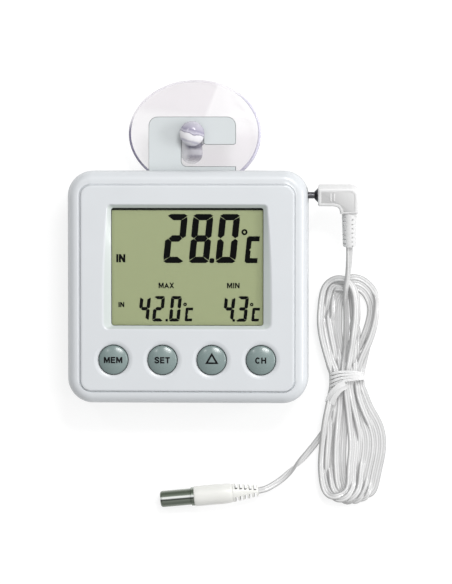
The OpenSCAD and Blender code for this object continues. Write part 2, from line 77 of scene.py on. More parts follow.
CASE_LO, CASE_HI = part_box("front_cover")
FACE_Z = CASE_HI.z
CASE_W = CASE_HI.x - CASE_LO.x
CASE_H = CASE_HI.y - CASE_LO.y
PARTING_Z = CASE_LO.z
LENS_LO, LENS_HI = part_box("window_lens")
LCD_LO, LCD_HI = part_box("lcd_panel")
HANGER_LO, HANGER_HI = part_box("hanger_plate")
WINDOW_Y = (LENS_LO.y + LENS_HI.y) / 2
PIN_LO, PIN_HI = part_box("plug_sleeve")
JACK_Y = (PIN_LO.y + PIN_HI.y) / 2
JACK_Z = (PIN_LO.z + PIN_HI.z) / 2
BUTTONS = ("button_mem", "button_set", "button_up", "button_channel")
# In mm
BUTTON_R = 5.4


def middle_of(node):
    """The middle of a node's box, across and up."""
    lo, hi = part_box(node)
    return (lo.x + hi.x) / 2, (lo.y + hi.y) / 2


# ------------------------------------------------------------------ camera

CAMERA_AWAY = 1.2
CAMERA_RIGHT = math.radians(3.2)
CAMERA_UP = math.radians(2.4)
VIEW_CENTRE = Vector((14.6 * MM, -1.7 * MM, 24 * MM))
VIEW_HEIGHT = 217.7 * MM
SENSOR = 36.0


def make_camera():
    data = bpy.data.cameras.new("camera")
    camera = bpy.data.objects.new("camera", data)
    collection.objects.link(camera)
    back = Vector((math.tan(CAMERA_RIGHT), math.tan(CAMERA_UP), 1)).normalized()
    right = Vector((0, 1, 0)).cross(back).normalized()
    up = back.cross(right)
    place = Matrix((right, up, back)).transposed().to_4x4()
    place.translation = VIEW_CENTRE + back * CAMERA_AWAY
    camera.matrix_world = place
    data.sensor_width = SENSOR
    data.lens = SENSOR * CAMERA_AWAY / VIEW_HEIGHT
    data.clip_start = 0.05
    data.clip_end = 20
    scene.camera = camera


make_camera()


# ------------------------------------------------------------------ mesh helpers

# Edges turn by at least this much where they are rounded, in degrees
BEVELLED_FROM = 35
# Faces of a CAD node that differ by less are one flat face, in degrees
FLAT_WITHIN = 0.6


def add_mesh(name, verts, faces, material, body, replaces=(), sharp=30):
    """A new piece from points in metres, shaded smooth but for edges sharper than the given angle."""
    mesh = bpy.data.meshes.new(name)
    mesh.from_pydata([tuple(v) for v in verts], [], faces)
    mesh.validate()
    return add_piece(name, mesh, material, body, replaces, sharp)


def face_outwards(mesh):
    """Turns a closed mesh's faces outwards."""
    work = bmesh.new()
    work.from_mesh(mesh)
    bmesh.ops.recalc_face_normals(work, faces=work.faces)
    work.to_mesh(mesh)
    work.free()


def add_piece(name, mesh, material, body, replaces=(), sharp=30):
    """A new piece with its material, on its body, in the place of the CAD nodes it replaces.
    A piece that bends between two bodies has no body here."""
    face_outwards(mesh)
    piece = bpy.data.objects.new(name, mesh)
    collection.objects.link(piece)
    smooth(mesh, sharp)
    mesh.materials.clear()
    mesh.materials.append(material)
    if body:
        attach(piece, body)
    if replaces:
        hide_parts(*replaces)
    return piece


def smooth(mesh, sharp):
    """Shades a mesh smooth but for edges sharper than the angle."""
    mesh.shade_smooth()
    mesh.set_sharp_from_angle(angle=math.radians(sharp))


def bevelled(piece, width, segments=2):
    """Rounds the piece's edges with a modifier."""
    mod = piece.modifiers.new("edges", "BEVEL")
    mod.width = width
    mod.segments = segments
    mod.limit_method = "ANGLE"
    mod.angle_limit = math.radians(BEVELLED_FROM)
    mod.use_clamp_overlap = True
    mod.harden_normals = False
    shade = piece.modifiers.new("shade", "WEIGHTED_NORMAL")
    shade.keep_sharp = True
    return piece


def refined(node, name, material, bevel, segments=2, edge=None):
    """A cleaned copy of a CAD node, with its edges rounded, that stands for the node.
    With edge, the rounded edges have that material."""
    source = frame["nodes"][node]
    body = source["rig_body"]
    work = bmesh.new()
    work.from_mesh(source.data)
    bmesh.ops.remove_doubles(work, verts=work.verts, dist=2e-6)
    bmesh.ops.dissolve_limit(
        work, angle_limit=math.radians(FLAT_WITHIN), verts=work.verts, edges=work.edges
    )
    mesh = bpy.data.meshes.new(name)
    work.to_mesh(mesh)
    work.free()
    piece = add_piece(name, mesh, material, body, (node,))
    bevelled(piece, bevel, segments)
    if edge:
        mesh.materials.append(edge)
        piece.modifiers["edges"].material = 1
    return piece


def applied(piece):
    """Makes the piece's modifiers part of its mesh."""
    depsgraph = bpy.context.evaluated_depsgraph_get()
    mesh = bpy.data.meshes.new_from_object(piece.evaluated_get(depsgraph))
    piece.modifiers.clear()
    piece.data = mesh
    return piece


def cut(piece, cutters):
    """Takes closed cutter meshes out of a piece and removes them."""
    for cutter in cutters:
        mod = piece.modifiers.new("cut", "BOOLEAN")
        mod.operation = "DIFFERENCE"
        mod.solver = "EXACT"
        mod.object = cutter
    applied(piece)
    for cutter in cutters:
        bpy.data.objects.remove(cutter)
    return piece


def cutter(verts, faces):
    """A closed mesh to take out of a piece."""
    mesh = bpy.data.meshes.new("cutter")
    mesh.from_pydata([tuple(v) for v in verts], [], faces)
    face_outwards(mesh)
    obj = bpy.data.objects.new("cutter", mesh)
    collection.objects.link(obj)
    return obj


def box_mesh(lo, hi):
    """The corners and faces of a box between two opposite corners."""
    verts = [(x, y, z) for x in (lo[0], hi[0]) for y in (lo[1], hi[1]) for z in (lo[2], hi[2])]
    faces = [(0, 1, 3, 2), (4, 6, 7, 5), (0, 4, 5, 1), (2, 3, 7, 6), (0, 2, 6, 4), (1, 5, 7, 3)]
    return verts, faces


def loft(rings, close_start=True, close_end=True):
    """Faces between rings of the same number of points."""
    count = len(rings[0])
    verts = [p for ring in rings for p in ring]
    faces = [
        (i * count + k, i * count + (k + 1) % count, (i + 1) * count + (k + 1) % count, (i + 1) * count + k)
        for i in range(len(rings) - 1)
        for k in range(count)
    ]
    if close_start:
        faces.append(tuple(reversed(range(count))))
    if close_end:
        faces.append(tuple((len(rings) - 1) * count + k for k in range(count)))
    return verts, faces


def lathe(profile, place=Matrix.Identity(4), segments=48):
    """A turned shape: (radius, height) pairs about +Z, moved by place. It closes on the axis."""
    verts, faces, rows = [], [], []
    for radius, height in profile:
        if radius < 1e-9:
            rows.append([len(verts)])
            verts.append(place @ Vector((0, 0, height)))
            continue
        rows.append(list(range(len(verts), len(verts) + segments)))
        for k in range(segments):
            a = 2 * math.pi * k / segments
            verts.append(place @ Vector((radius * math.cos(a), radius * math.sin(a), height)))
    for low, high in zip(rows, rows[1:]):
        for k in range(segments):
            a, b = low[k % len(low)], low[(k + 1) % len(low)]
            c, d = high[(k + 1) % len(high)], high[k % len(high)]
            corners = []
            for v in (a, b, c, d):
                if v not in corners:
                    corners.append(v)
            if len(corners) > 2:
                faces.append(tuple(corners))
    return verts, faces


def arc(cx, cy, radius, start, end, steps):
    """Points of an arc in a profile, in degrees."""
    out = []
    for i in range(steps + 1):
        a = math.radians(start + (end - start) * i / steps)
        out.append((cx + radius * math.cos(a), cy + radius * math.sin(a)))
    return out


def scaled(profile):
    """A profile in mm, in metres."""
    return [(r * MM, h * MM) for r, h in profile]


def turned(name, profile, place, segments, material, body, replaces=(), sharp=40):
    """A piece turned from a profile in mm."""
    verts, faces = lathe(scaled(profile), place, segments)
    return add_mesh(name, verts, faces, material, body, replaces, sharp)


def curve_through(points, step):
    """A smooth curve through the points, sampled every step."""
    p = np.array(points, float)
    out = []
    for i in range(len(p) - 1):
        a, b, c, d = p[max(i - 1, 0)], p[i], p[i + 1], p[min(i + 2, len(p) - 1)]
        for t in np.linspace(0, 1, 24, endpoint=False):
            out.append(
                0.5 * (2 * b + (c - a) * t + (2 * a - 5 * b + 4 * c - d) * t * t
                       + (3 * b - a - 3 * c + d) * t ** 3)
            )
    out.append(p[-1])
    out = np.array(out)
    along = np.concatenate([[0], np.cumsum(np.linalg.norm(np.diff(out, axis=0), axis=1))])
    count = max(2, int(round(along[-1] / step)) + 1)
    wanted = np.linspace(0, along[-1], count)
    return np.stack([np.interp(wanted, along, out[:, k]) for k in range(3)], axis=1)


def tangents(path):
    """The path's direction at each of its points."""
    t = np.gradient(path, axis=0)
    return t / np.linalg.norm(t, axis=1)[:, None]


def swept(path, outline, turn):
    """A section carried along a path. The outline is (side, up) pairs; turn rolls it, in radians."""
    t = tangents(path)
    side = np.cross(t, np.array((0.0, 0.0, 1.0)))
    side /= np.linalg.norm(side, axis=1)[:, None]
    rise = np.cross(side, t)
    u = side * np.cos(turn)[:, None] + rise * np.sin(turn)[:, None]
    v = rise * np.cos(turn)[:, None] - side * np.sin(turn)[:, None]
    rings = [[p + a * x + b * y for a, b in outline] for p, x, y in zip(path, u, v)]
    return loft(rings)


# ------------------------------------------------------------------ materials

def node_tree(name):
    """A new material with its node tree and its shader."""
    material = bpy.data.materials.new(name)
    material.use_nodes = True
    tree = material.node_tree
    shader = tree.nodes["Principled BSDF"]
    return material, tree, shader


def noise(tree, size, detail=3.0):
    """Noise whose features are about size metres across, in the object's own space."""
    coords = tree.nodes.new("ShaderNodeTexCoord")
    tex = tree.nodes.new("ShaderNodeTexNoise")
    tex.inputs["Scale"].default_value = 1 / size
    tex.inputs["Detail"].default_value = detail
    tex.inputs["Roughness"].default_value = 0.55
    tree.links.new(coords.outputs["Object"], tex.inputs["Vector"])
    return tex.outputs["Fac"]


def mapped(tree, value, low, high, start=0.3, end=0.7):
    """Goes from low to high as the value goes from start to end: the middle of a noise, unless told."""
    node = tree.nodes.new("ShaderNodeMapRange")
    node.inputs["From Min"].default_value = start
    node.inputs["From Max"].default_value = end
    node.inputs["To Min"].default_value = low
    node.inputs["To Max"].default_value = high
    tree.links.new(value, node.inputs["Value"])
    return node.outputs["Result"]


def varied_colour(tree, value, colour, spread):
    """Drifts between a darker and a lighter shade of the colour."""
    ramp = tree.nodes.new("ShaderNodeValToRGB")
    for end, gain in ((0, 1 - spread), (1, 1 + spread)):
        ramp.color_ramp.elements[end].position = (0.3, 0.7)[end]
        ramp.color_ramp.elements[end].color = (*[min(1, c * gain) for c in colour], 1)
    tree.links.new(value, ramp.inputs["Fac"])
    return ramp.outputs["Color"]


def bumped(tree, value, shader, distance):
    """Fine relief of that height."""
    bump = tree.nodes.new("ShaderNodeBump")
    bump.inputs["Distance"].default_value = distance
    bump.inputs["Strength"].default_value = 1.0
    tree.links.new(value, bump.inputs["Height"])
    tree.links.new(bump.outputs["Normal"], shader.inputs["Normal"])


def plastic(name, colour, rough=0.35, spread=0.02, grain=0.25 * MM, depth=0.004 * MM, coat=0.0, soft=0.0,
            specular=0.5):
    """Moulded plastic: slow colour drift, uneven gloss and a fine moulded grain."""
    material, tree, shader = node_tree(name)
    drift = noise(tree, 18 * MM, 2.0)
    tree.links.new(varied_colour(tree, drift, colour, spread), shader.inputs["Base Color"])
    gloss = noise(tree, 2.5 * MM, 4.0)
    tree.links.new(mapped(tree, gloss, rough * 0.88, rough * 1.14), shader.inputs["Roughness"])
    bumped(tree, noise(tree, grain, 2.0), shader, depth)
    shader.inputs["Specular IOR Level"].default_value = specular
    shader.inputs["Coat Weight"].default_value = coat
    shader.inputs["Coat Roughness"].default_value = 0.12
    if soft:
        shader.inputs["Subsurface Weight"].default_value = soft
        shader.inputs["Subsurface Radius"].default_value = (1.0, 1.0, 1.0)
        shader.inputs["Subsurface Scale"].default_value = 0.8 * MM
    return material


# How far the window's slopes reach each way, in mm, and the painted shade on the case's plastic: on those
# slopes and towards the back of its walls
SLOPE_SHADE_LIMITS = (((1, 0, 0), 36.2), ((-1, 0, 0), 36.2), ((0, 1, 0), 17.8), ((0, -1, 0), 32.2))
SLOPE_SHADE = (0.86, 0.90, 0.85)
WALL_SHADE = (0.55, 0.61, 0.60)


def paint_case_shade(material, face):
    """Paints shade into a case's plastic towards the back of its walls and in the slopes round its window.
    face is the height of its face, in mm."""
    tree = material.node_tree
    base = tree.nodes["Principled BSDF"].inputs["Base Color"]
    plain = base.links[0].from_socket
    # Painted shade: darker towards the back of the walls and on the slopes round the window
    wall = along(tree, (0, 0, -1), -0.93 * face, -0.5 * face)
    slope = along(tree, (0, 0, -1), -face + 0.12, -face + 0.5)
    for direction, limit in SLOPE_SHADE_LIMITS:
        slope = maths(tree, "MULTIPLY", slope, along(tree, direction, -limit, -limit + 0.8))
    for value, tone in ((wall, WALL_SHADE), (slope, SLOPE_SHADE)):
        mix = tree.nodes.new("ShaderNodeMix")
        mix.data_type = "RGBA"
        mix.blend_type = "MULTIPLY"
        mix.inputs["B"].default_value = (*tone, 1)
        tree.links.new(value, mix.inputs["Factor"])
        tree.links.new(plain, mix.inputs["A"])
        plain = mix.outputs["Result"]
    tree.links.new(plain, base)


def metal(name, colour, rough, scratch):
    """Turned or drawn metal with fine lines: scratch is how many there are to a mm, each way."""
    material, tree, shader = node_tree(name)
    shader.inputs["Metallic"].default_value = 1.0
    coords = tree.nodes.new("ShaderNodeTexCoord")
    stretch = tree.nodes.new("ShaderNodeMapping")
    stretch.inputs["Scale"].default_value = [s / MM for s in scratch]
    lines = tree.nodes.new("ShaderNodeTexNoise")
    lines.inputs["Scale"].default_value = 1.0
    lines.inputs["Detail"].default_value = 4.0
    tree.links.new(coords.outputs["Object"], stretch.inputs["Vector"])
    tree.links.new(stretch.outputs["Vector"], lines.inputs["Vector"])
    tree.links.new(varied_colour(tree, lines.outputs["Fac"], colour, 0.10), shader.inputs["Base Color"])
    tree.links.new(mapped(tree, lines.outputs["Fac"], rough * 0.7, rough * 1.4), shader.inputs["Roughness"])
    bumped(tree, lines.outputs["Fac"], shader, 0.003 * MM)
    return material


def polished(name, direction, start, end, stops):
    """Bright round metal: bands of light and shade lying along it, between two distances in mm."""
    material, tree, shader = node_tree(name)
    shader.inputs["Metallic"].default_value = 0.35
    bands = along(tree, direction, start, end, 0.12)
    tree.links.new(ramp(tree, bands, stops), shader.inputs["Base Color"])
    lines = noise(tree, 0.4 * MM, 4.0)
    tree.links.new(mapped(tree, lines, 0.16, 0.26), shader.inputs["Roughness"])
    bumped(tree, lines, shader, 0.003 * MM)
    return material


def along(tree, direction, start, end, wander=0.0):
    """Goes smoothly from 0 to 1 between two distances, in mm, measured along a direction."""
    coords = tree.nodes.new("ShaderNodeTexCoord")
    dot_node = tree.nodes.new("ShaderNodeVectorMath")
    dot_node.operation = "DOT_PRODUCT"
    dot_node.inputs[1].default_value = direction
    tree.links.new(coords.outputs["Object"], dot_node.inputs[0])
    value = dot_node.outputs["Value"]
    if wander:
        value = maths(tree, "ADD", value, maths(tree, "MULTIPLY", noise(tree, 3 * MM), wander * MM))
    span = tree.nodes.new("ShaderNodeMapRange")
    span.interpolation_type = "SMOOTHSTEP"
    span.inputs["From Min"].default_value = start * MM
    span.inputs["From Max"].default_value = end * MM
    tree.links.new(value, span.inputs["Value"])
    return span.outputs["Result"]


def maths(tree, operation, first, second):
    """One sum with two values, each a number or another node's output."""
    node = tree.nodes.new("ShaderNodeMath")
    node.operation = operation
    for socket, value in zip(node.inputs, (first, second)):
        if isinstance(value, (int, float)):
            socket.default_value = value
        else:
            tree.links.new(value, socket)
    return node.outputs["Value"]


def ramp(tree, value, stops):
    """A colour ramp: stops are (position, colour)."""
    node = tree.nodes.new("ShaderNodeValToRGB")
    elements = node.color_ramp.elements
    while len(elements) < len(stops):
        elements.new(0.5)
    for element, (position, colour) in zip(elements, stops):
        element.position = position
        element.color = (*colour, 1)
    tree.links.new(value, node.inputs["Fac"])
    return node.outputs["Color"]


def two_core_cord(name, core, middle, flank_shade, rough):
    """A cord of two white cores in a clear jacket, with painted shade, lighter over the cores and greyer at
    the flanks, and a faint glow of painted light.
    """
    material, tree, shader = node_tree(name)
    side = tree.nodes.new("ShaderNodeAttribute")
    side.attribute_name = "flank_shade"
    value = maths(tree, "ADD", side.outputs["Fac"], maths(tree, "MULTIPLY", noise(tree, 5 * MM), 0.12))
    tones = ramp(tree, value, [(0.2, core), (0.5, middle), (0.95, flank_shade)])
    tree.links.new(tones, shader.inputs["Base Color"])
    # Painted light: a faint glow that lightens the shade between strands
    shader.inputs["Emission Color"].default_value = (1, 1, 1, 1)
    shader.inputs["Emission Strength"].default_value = 0.10
    gloss = noise(tree, 2 * MM, 4.0)
    tree.links.new(mapped(tree, gloss, rough * 0.85, rough * 1.2), shader.inputs["Roughness"])
    bumped(tree, noise(tree, 0.6 * MM, 2.0), shader, 0.006 * MM)
    shader.inputs["Coat Weight"].default_value = 0.25
    shader.inputs["Coat Roughness"].default_value = 0.12
    return material


def cup_sheet(name, colour):
    """The cup's disc: clear, with a painted reflection at its upper left and a faint tint at its lower
    right.
    """
    material, tree, shader = node_tree(name)
    drift = noise(tree, 9 * MM, 2.0)
    tree.links.new(varied_colour(tree, drift, colour, 0.06), shader.inputs["Base Color"])
    # Painted reflection at the upper left; the lower right is a faint tint
    upper_reflection = maths(tree, "MULTIPLY", along(tree, (0.12, 1, 0), 61.5, 66.5),
                  along(tree, (-1, 0.35, 0), 16.0, 17.7, 1.0))
    lower = maths(tree, "MULTIPLY", along(tree, (0, -1, 0), -61, -54), along(tree, (1, 0, 0), -8, -2))
    reflection_and_tint = maths(tree, "MAXIMUM", upper_reflection, lower)
    tree.links.new(mapped(tree, reflection_and_tint, 0.062, 0.12, 0, 1), shader.inputs["Alpha"])
    tree.links.new(mapped(tree, noise(tree, 3 * MM), 0.07, 0.12), shader.inputs["Roughness"])
    bumped(tree, noise(tree, 6 * MM, 2.0), shader, 0.02 * MM)
    return material


def cup_edge(name):
    """The cup's thick rim, with painted shade: deep low at the left, lighter lilac at the right, nearly
    clear at the top.
    """
    material, tree, shader = node_tree(name)
    shade = along(tree, (1, 0, 0), -20, 24, 1.0)
    tones = ramp(tree, shade, [
        (0, (0.08, 0.07, 0.18)), (0.008, (0.15, 0.14, 0.26)), (0.035, (0.42, 0.41, 0.56)),
        (0.5, (0.58, 0.57, 0.70)), (1, (0.74, 0.73, 0.86)),
    ])
    tree.links.new(tones, shader.inputs["Base Color"])
    low = along(tree, (0.25, -1, 0), -70.5, -62.5)
    tree.links.new(mapped(tree, low, 0.08, 0.62, 0, 1), shader.inputs["Alpha"])
    shader.inputs["Roughness"].default_value = 0.1
    bumped(tree, noise(tree, 2 * MM, 2.0), shader, 0.02 * MM)
    return material


def cup_stud(name):
    """The cup's solid head and neck: bands of light and shade as in thick clear plastic."""
    material, tree, shader = node_tree(name)
    bands = along(tree, (0.28, 1, 0), 50, 64, 1.8)
    stops = [
        (0.0, (0.34, 0.33, 0.38)), (0.13, (0.15, 0.14, 0.19)), (0.19, (0.50, 0.49, 0.56)),
        (0.27, (0.80, 0.79, 0.83)), (0.36, (0.50, 0.49, 0.58)), (0.44, (0.86, 0.85, 0.87)),
        (0.64, (0.84, 0.83, 0.86)), (0.67, (0.13, 0.12, 0.19)), (0.70, (0.62, 0.60, 0.69)),
        (0.80, (0.33, 0.31, 0.41)), (0.88, (0.46, 0.44, 0.53)), (1.0, (0.52, 0.51, 0.57)),
    ]
    tree.links.new(ramp(tree, bands, stops), shader.inputs["Base Color"])
    shader.inputs["Alpha"].default_value = 0.82
    tree.links.new(mapped(tree, noise(tree, 3 * MM), 0.05, 0.1), shader.inputs["Roughness"])
    bumped(tree, noise(tree, 1.6 * MM, 3.0), shader, 0.12 * MM)
    return material


def cup_root(name, x):
    """The leaning neck between head and disc: shaded below the head, bright along its left side."""
    material, tree, shader = node_tree(name)
    down = ramp(tree, along(tree, (0, 1, 0), 45.5, 54, 0.8), [
        (0, (0.66, 0.64, 0.68)), (0.09, (0.44, 0.42, 0.47)), (0.18, (0.27, 0.25, 0.30)),
        (0.42, (0.26, 0.24, 0.30)), (0.56, (0.55, 0.54, 0.59)), (0.78, (0.62, 0.60, 0.66)),
        (0.92, (0.24, 0.23, 0.29)), (1, (0.2, 0.19, 0.25)),
    ])
    side = tree.nodes.new("ShaderNodeMix")
    side.data_type = "RGBA"
    side.inputs["A"].default_value = (0.86, 0.85, 0.88, 1)
    tree.links.new(along(tree, (1, 0, 0), x - 3.2, x - 0.6, 0.6), side.inputs["Factor"])
    tree.links.new(down, side.inputs["B"])
    tree.links.new(side.outputs["Result"], shader.inputs["Base Color"])
    up = along(tree, (0, 1, 0), 44.6, 49.5)
    tree.links.new(mapped(tree, up, 0.03, 0.6, 0, 1), shader.inputs["Alpha"])
    shader.inputs["Roughness"].default_value = 0.12
    bumped(tree, noise(tree, 2 * MM, 2.0), shader, 0.05 * MM)
    return material


def clear(name, colour, face_on, edge_on, rough, specular):
    """Clear plastic film: nearly unseen face on, denser where the surface turns away."""
    material, tree, shader = node_tree(name)
    drift = noise(tree, 9 * MM, 2.0)
    tree.links.new(varied_colour(tree, drift, colour, 0.03), shader.inputs["Base Color"])
    weight = tree.nodes.new("ShaderNodeLayerWeight")
    weight.inputs["Blend"].default_value = 0.45
    tree.links.new(mapped(tree, weight.outputs["Facing"], face_on, edge_on, 0, 1), shader.inputs["Alpha"])
    tree.links.new(mapped(tree, noise(tree, 3 * MM), rough * 0.8, rough * 1.3), shader.inputs["Roughness"])
    shader.inputs["Specular IOR Level"].default_value = specular
    bumped(tree, noise(tree, 6 * MM, 2.0), shader, 0.02 * MM)
    return material


def display_glass(name, colour):
    """The display's reflector: a fine sparkle, with its gloss drifting slowly."""
    material, tree, shader = node_tree(name)
    sparkle = noise(tree, 0.12 * MM, 2.0)
    tree.links.new(varied_colour(tree, sparkle, colour, 0.09), shader.inputs["Base Color"])
    tree.links.new(mapped(tree, noise(tree, 12 * MM), 0.45, 0.6), shader.inputs["Roughness"])
    return material


CASE = plastic("case_white", (0.57, 0.59, 0.61), 0.34, 0.012, 0.22 * MM, 0.003 * MM, coat=0.15)
paint_case_shade(CASE, FACE_Z / MM)
BACK = plastic("back_white", (0.42, 0.45, 0.45), 0.45, 0.015, 0.3 * MM, 0.012 * MM)
HANGER = plastic("hanger_grey", (0.53, 0.56, 0.57), 0.38, 0.015, 0.3 * MM, 0.004 * MM)
# Painted shade: a dark outline on the hanger plate's rounded edges
HANGER_EDGE_SHADE = plastic("hanger_edge_shade", (0.15, 0.165, 0.165), 0.5, 0.02, 0.3 * MM, 0.004 * MM)
BUTTON = plastic("button_grey", (0.175, 0.228, 0.222), 0.27, 0.02, 0.6 * MM, 0.0006 * MM, coat=0.16)
INK = plastic("ink_black", (0.004, 0.004, 0.005), 0.45, 0.10, specular=0.08)
SEGMENT = plastic("segment_black", (0.0015, 0.0015, 0.0015), 0.6, 0.10, specular=0.0)
# Painted shadow: a black strip round the display, showing as the shadow under the window's top edge
SHADOW_STRIP = plastic("shadow_strip_black", (0.02, 0.022, 0.018), 0.9, 0.10, 0.3 * MM, 0.05 * MM, specular=0.1)
LCD = display_glass("lcd_green", (0.285, 0.320, 0.168))
LENS = clear("window_clear", (0.85, 0.9, 0.88), 0.002, 0.2, 0.03, 0.02)
CUP = cup_sheet("cup_clear", (0.20, 0.10, 0.18))
CUP_RIM = cup_edge("cup_rim")
CUP_THICK = cup_stud("cup_thick")
CUP_ROOT = cup_root("cup_root", middle_of("suction_cup")[0] / MM)
PLUG = plastic("plug_white", (0.66, 0.66, 0.66), 0.40, 0.015, 0.3 * MM, 0.005 * MM, soft=0.15)
PANEL = plastic("panel_white", (0.54, 0.54, 0.54), 0.55, 0.03, 0.5 * MM, 0.02 * MM)
# Painted shade inside the probe relief's slots, and painted light inside the plug relief's slots
SLOT = plastic("slot_shade", (0.16, 0.16, 0.15), 0.5, 0.03, 0.5 * MM, 0.01 * MM)
SLOT_LIGHT = plastic("slot_painted_light", (0.80, 0.80, 0.80), 0.5, 0.03, 0.5 * MM, 0.01 * MM, soft=0.15)
RELIEF = plastic("relief_white", (0.64, 0.64, 0.64), 0.40, 0.015, 0.3 * MM, 0.005 * MM, soft=0.15)
# The cord's three tones are painted shade across its section, lightest over the cores
CORD = two_core_cord(
    "cord_white", (0.59, 0.59, 0.59), (0.42, 0.42, 0.42), (0.27, 0.27, 0.27), 0.36)
TIE = plastic("tie_white", (0.70, 0.70, 0.70), 0.5, 0.02, 0.5 * MM, 0.01 * MM)
SLEEVE = plastic("sleeve_white", (0.72, 0.72, 0.69), 0.35, 0.015, 0.3 * MM, 0.004 * MM, soft=0.15)
STEEL = polished("probe_steel", (-0.094, 0.9956, 0), -83.4, -76.4, [
    (0.0, (0.20, 0.23, 0.19)), (0.08, (0.13, 0.15, 0.12)), (0.32, (0.15, 0.17, 0.14)),
    (0.40, (0.02, 0.025, 0.02)), (0.47, (0.10, 0.11, 0.10)), (0.53, (0.72, 0.74, 0.72)),
    (0.63, (0.78, 0.80, 0.78)), (0.70, (0.16, 0.19, 0.15)), (0.88, (0.09, 0.11, 0.08)),
    (0.95, (0.12, 0.14, 0.11)), (1.0, (0.42, 0.45, 0.41)),
])
PIN = metal("pin_metal", (0.13, 0.13, 0.14), 0.25, (0.3, 5, 5))
COLLAR = metal("dark_metal", (0.10, 0.10, 0.11), 0.35, (0.3, 5, 5))
NICKEL = metal("bright_metal", (0.62, 0.62, 0.62), 0.25, (3, 3, 3))
SCREW = metal("screw_steel", (0.45, 0.46, 0.47), 0.30, (3, 3, 3))
BOARD = plastic("board_green", (0.03, 0.16, 0.05), 0.35, 0.08, 1.5 * MM, 0.02 * MM)
RESIN = plastic("black_resin", (0.012, 0.012, 0.013), 0.5, 0.1, 0.6 * MM, 0.02 * MM)
RUBBER = plastic("dark_rubber", (0.03, 0.03, 0.035), 0.7, 0.1, 0.3 * MM, 0.02 * MM)
WRAP = plastic("battery_wrap", (0.05, 0.09, 0.13), 0.25, 0.05, 0.8 * MM, 0.004 * MM)
WIRE = plastic("wire_red", (0.5, 0.03, 0.02), 0.35, 0.05, 0.5 * MM, 0.004 * MM)
FRAME = plastic("inner_plastic", (0.75, 0.75, 0.73), 0.5, 0.02)


# ------------------------------------------------------------------ the cord

LOBE_R = 0.68 * MM
LOBE_OUT = 0.55 * MM
LOBE_END = 142
CORD_STEP = 0.9 * MM

# The routes of part.scad, in metres
LEAD_ROUTE = [
    (0.06035, 0.0153, 0.0119), (0.0603, 0.012, 0.011), (0.06015, 0.0088, 0.0099),
    (0.05985, 0.0056, 0.0087), (0.0594, 0.0024, 0.0076), (0.05895, -0.0008, 0.0066),
    (0.0586, -0.004, 0.0056),
]
TAIL_ROUTE = [
    (0.053, -0.0516, 0.00125), (0.0505, -0.0557, 0.00125), (0.0478, -0.0595, 0.00125),
    (0.0447, -0.0634, 0.00125), (0.0414, -0.0671, 0.00125), (0.038, -0.0707, 0.00125),
    (0.0346, -0.0738, 0.00165), (0.0311, -0.0761, 0.0027), (0.0284, -0.0774, 0.0036),
    (0.0258, -0.078, 0.00385),
]
# The hank, in mm. Its waist is where the tie holds it
LOOPS = 8
WAIST = (59.3, -35.8)
WAIST_HALF = 5.5
WAIST_REACH = 3.6
HANK_SHIFT = -1.1
TOP_LAYER = 5.4
LAYER_STEP = 0.58


def fold(x, tip, r, first, z):
    """Three points round a loop's end of radius r: first is the side it comes from, 1 right and -1 left."""
    back = 0.5 * r * first
    return [(x + 0.87 * r * first, tip + back, z), (x, tip, z), (x - 0.87 * r * first, tip + back, z)]


def down_lobe(k, x_in, x_out, z):
    """The loop below the tie: down on the right, round the bottom and up on the left, in mm."""
    left = 49.5 + 1.12 * k
    right = 61.2 + 1.66 * k
    low = -79.9 - 0.55 * math.sin(math.pi * k / (LOOPS - 1))
    mid = (left + right) / 2
    return [
        (x_in, -34.7, z + 0.6), (0.6 * x_in + 0.4 * right, -45, z + 0.3),
        (right - 0.5, -54, z), (right, -61.5, z - 0.2), (right - 0.7 - 0.2 * k, -69, z - 0.3),
        *fold(mid + 0.3 - 0.2 * k, low, (0.45 - 0.012 * k) * (right - left), 1, z - 0.3),
        (left + 0.2, -70, z - 0.3), (left, -65, z - 0.2),
        (0.75 * left + 0.25 * x_out, -54, z), (0.3 * left + 0.7 * x_out, -43, z + 0.3),
        (x_out, -34.7, z + 0.6),
    ]


def up_lobe(k, x_in, x_out, z):
    """The loop above the tie: up on the left, over the top and down in the middle or on the right."""
    left = 49.4 + 0.8 * k
    if k < 5:
        right = 62.8 - 0.12 * k
        high = 4.0 - 0.55 * k
    else:
        right = 70.2 - 0.55 * (k - 5)
        high = 4.5 - 2.1 * (k - 5)
    mid = (left + right) / 2
    return [
        (0.5 * x_in + 0.5 * left, -26, z + 0.3), (left + 0.1, -17, z), (left, -10, z - 0.2),
        *fold(mid, high, 0.45 * (right - left), -1, z - 0.3), (right, -8.5, z - 0.2),
        (0.7 * right + 0.3 * x_out, -19, z), (0.3 * right + 0.7 * x_out, -27, z + 0.3),
    ]


def hank_route():
    """The whole winding between the two free ends, as points in mm."""
    points = [(59.0, -12, 5.2), (58.8, -24, 5.6)]
    x_down = 59.0
    for k in range(LOOPS):
        z = TOP_LAYER - LAYER_STEP * k
        x_up = 54.1 + 0.62 * k
        points += down_lobe(k, x_down, x_up, z)
        x_down = 59.4 + 0.7 * k if k < LOOPS - 1 else 56.2
        points += up_lobe(k, x_up, x_down, z)
    points += [(56.2, -34.7, 1.6), (54.9, -42, 1.4)]
    return [(x, y + HANK_SHIFT, z) for x, y, z in points]


# How the winding settles, round by round
ROUNDS = 130
APART = 1.78 * MM
LOWEST = 0.95 * MM
PUSH_SHARE = 0.28
PUSH_MOST = 0.35 * MM
SINK = 0.025 * MM
PLAN_PULL = 0.03
EASING = 0.22
# Points of the path this near along it don't push each other
NEIGHBOURS = 7
TIE_LOW = 1.5 * MM
TIE_HIGH = 6.2 * MM


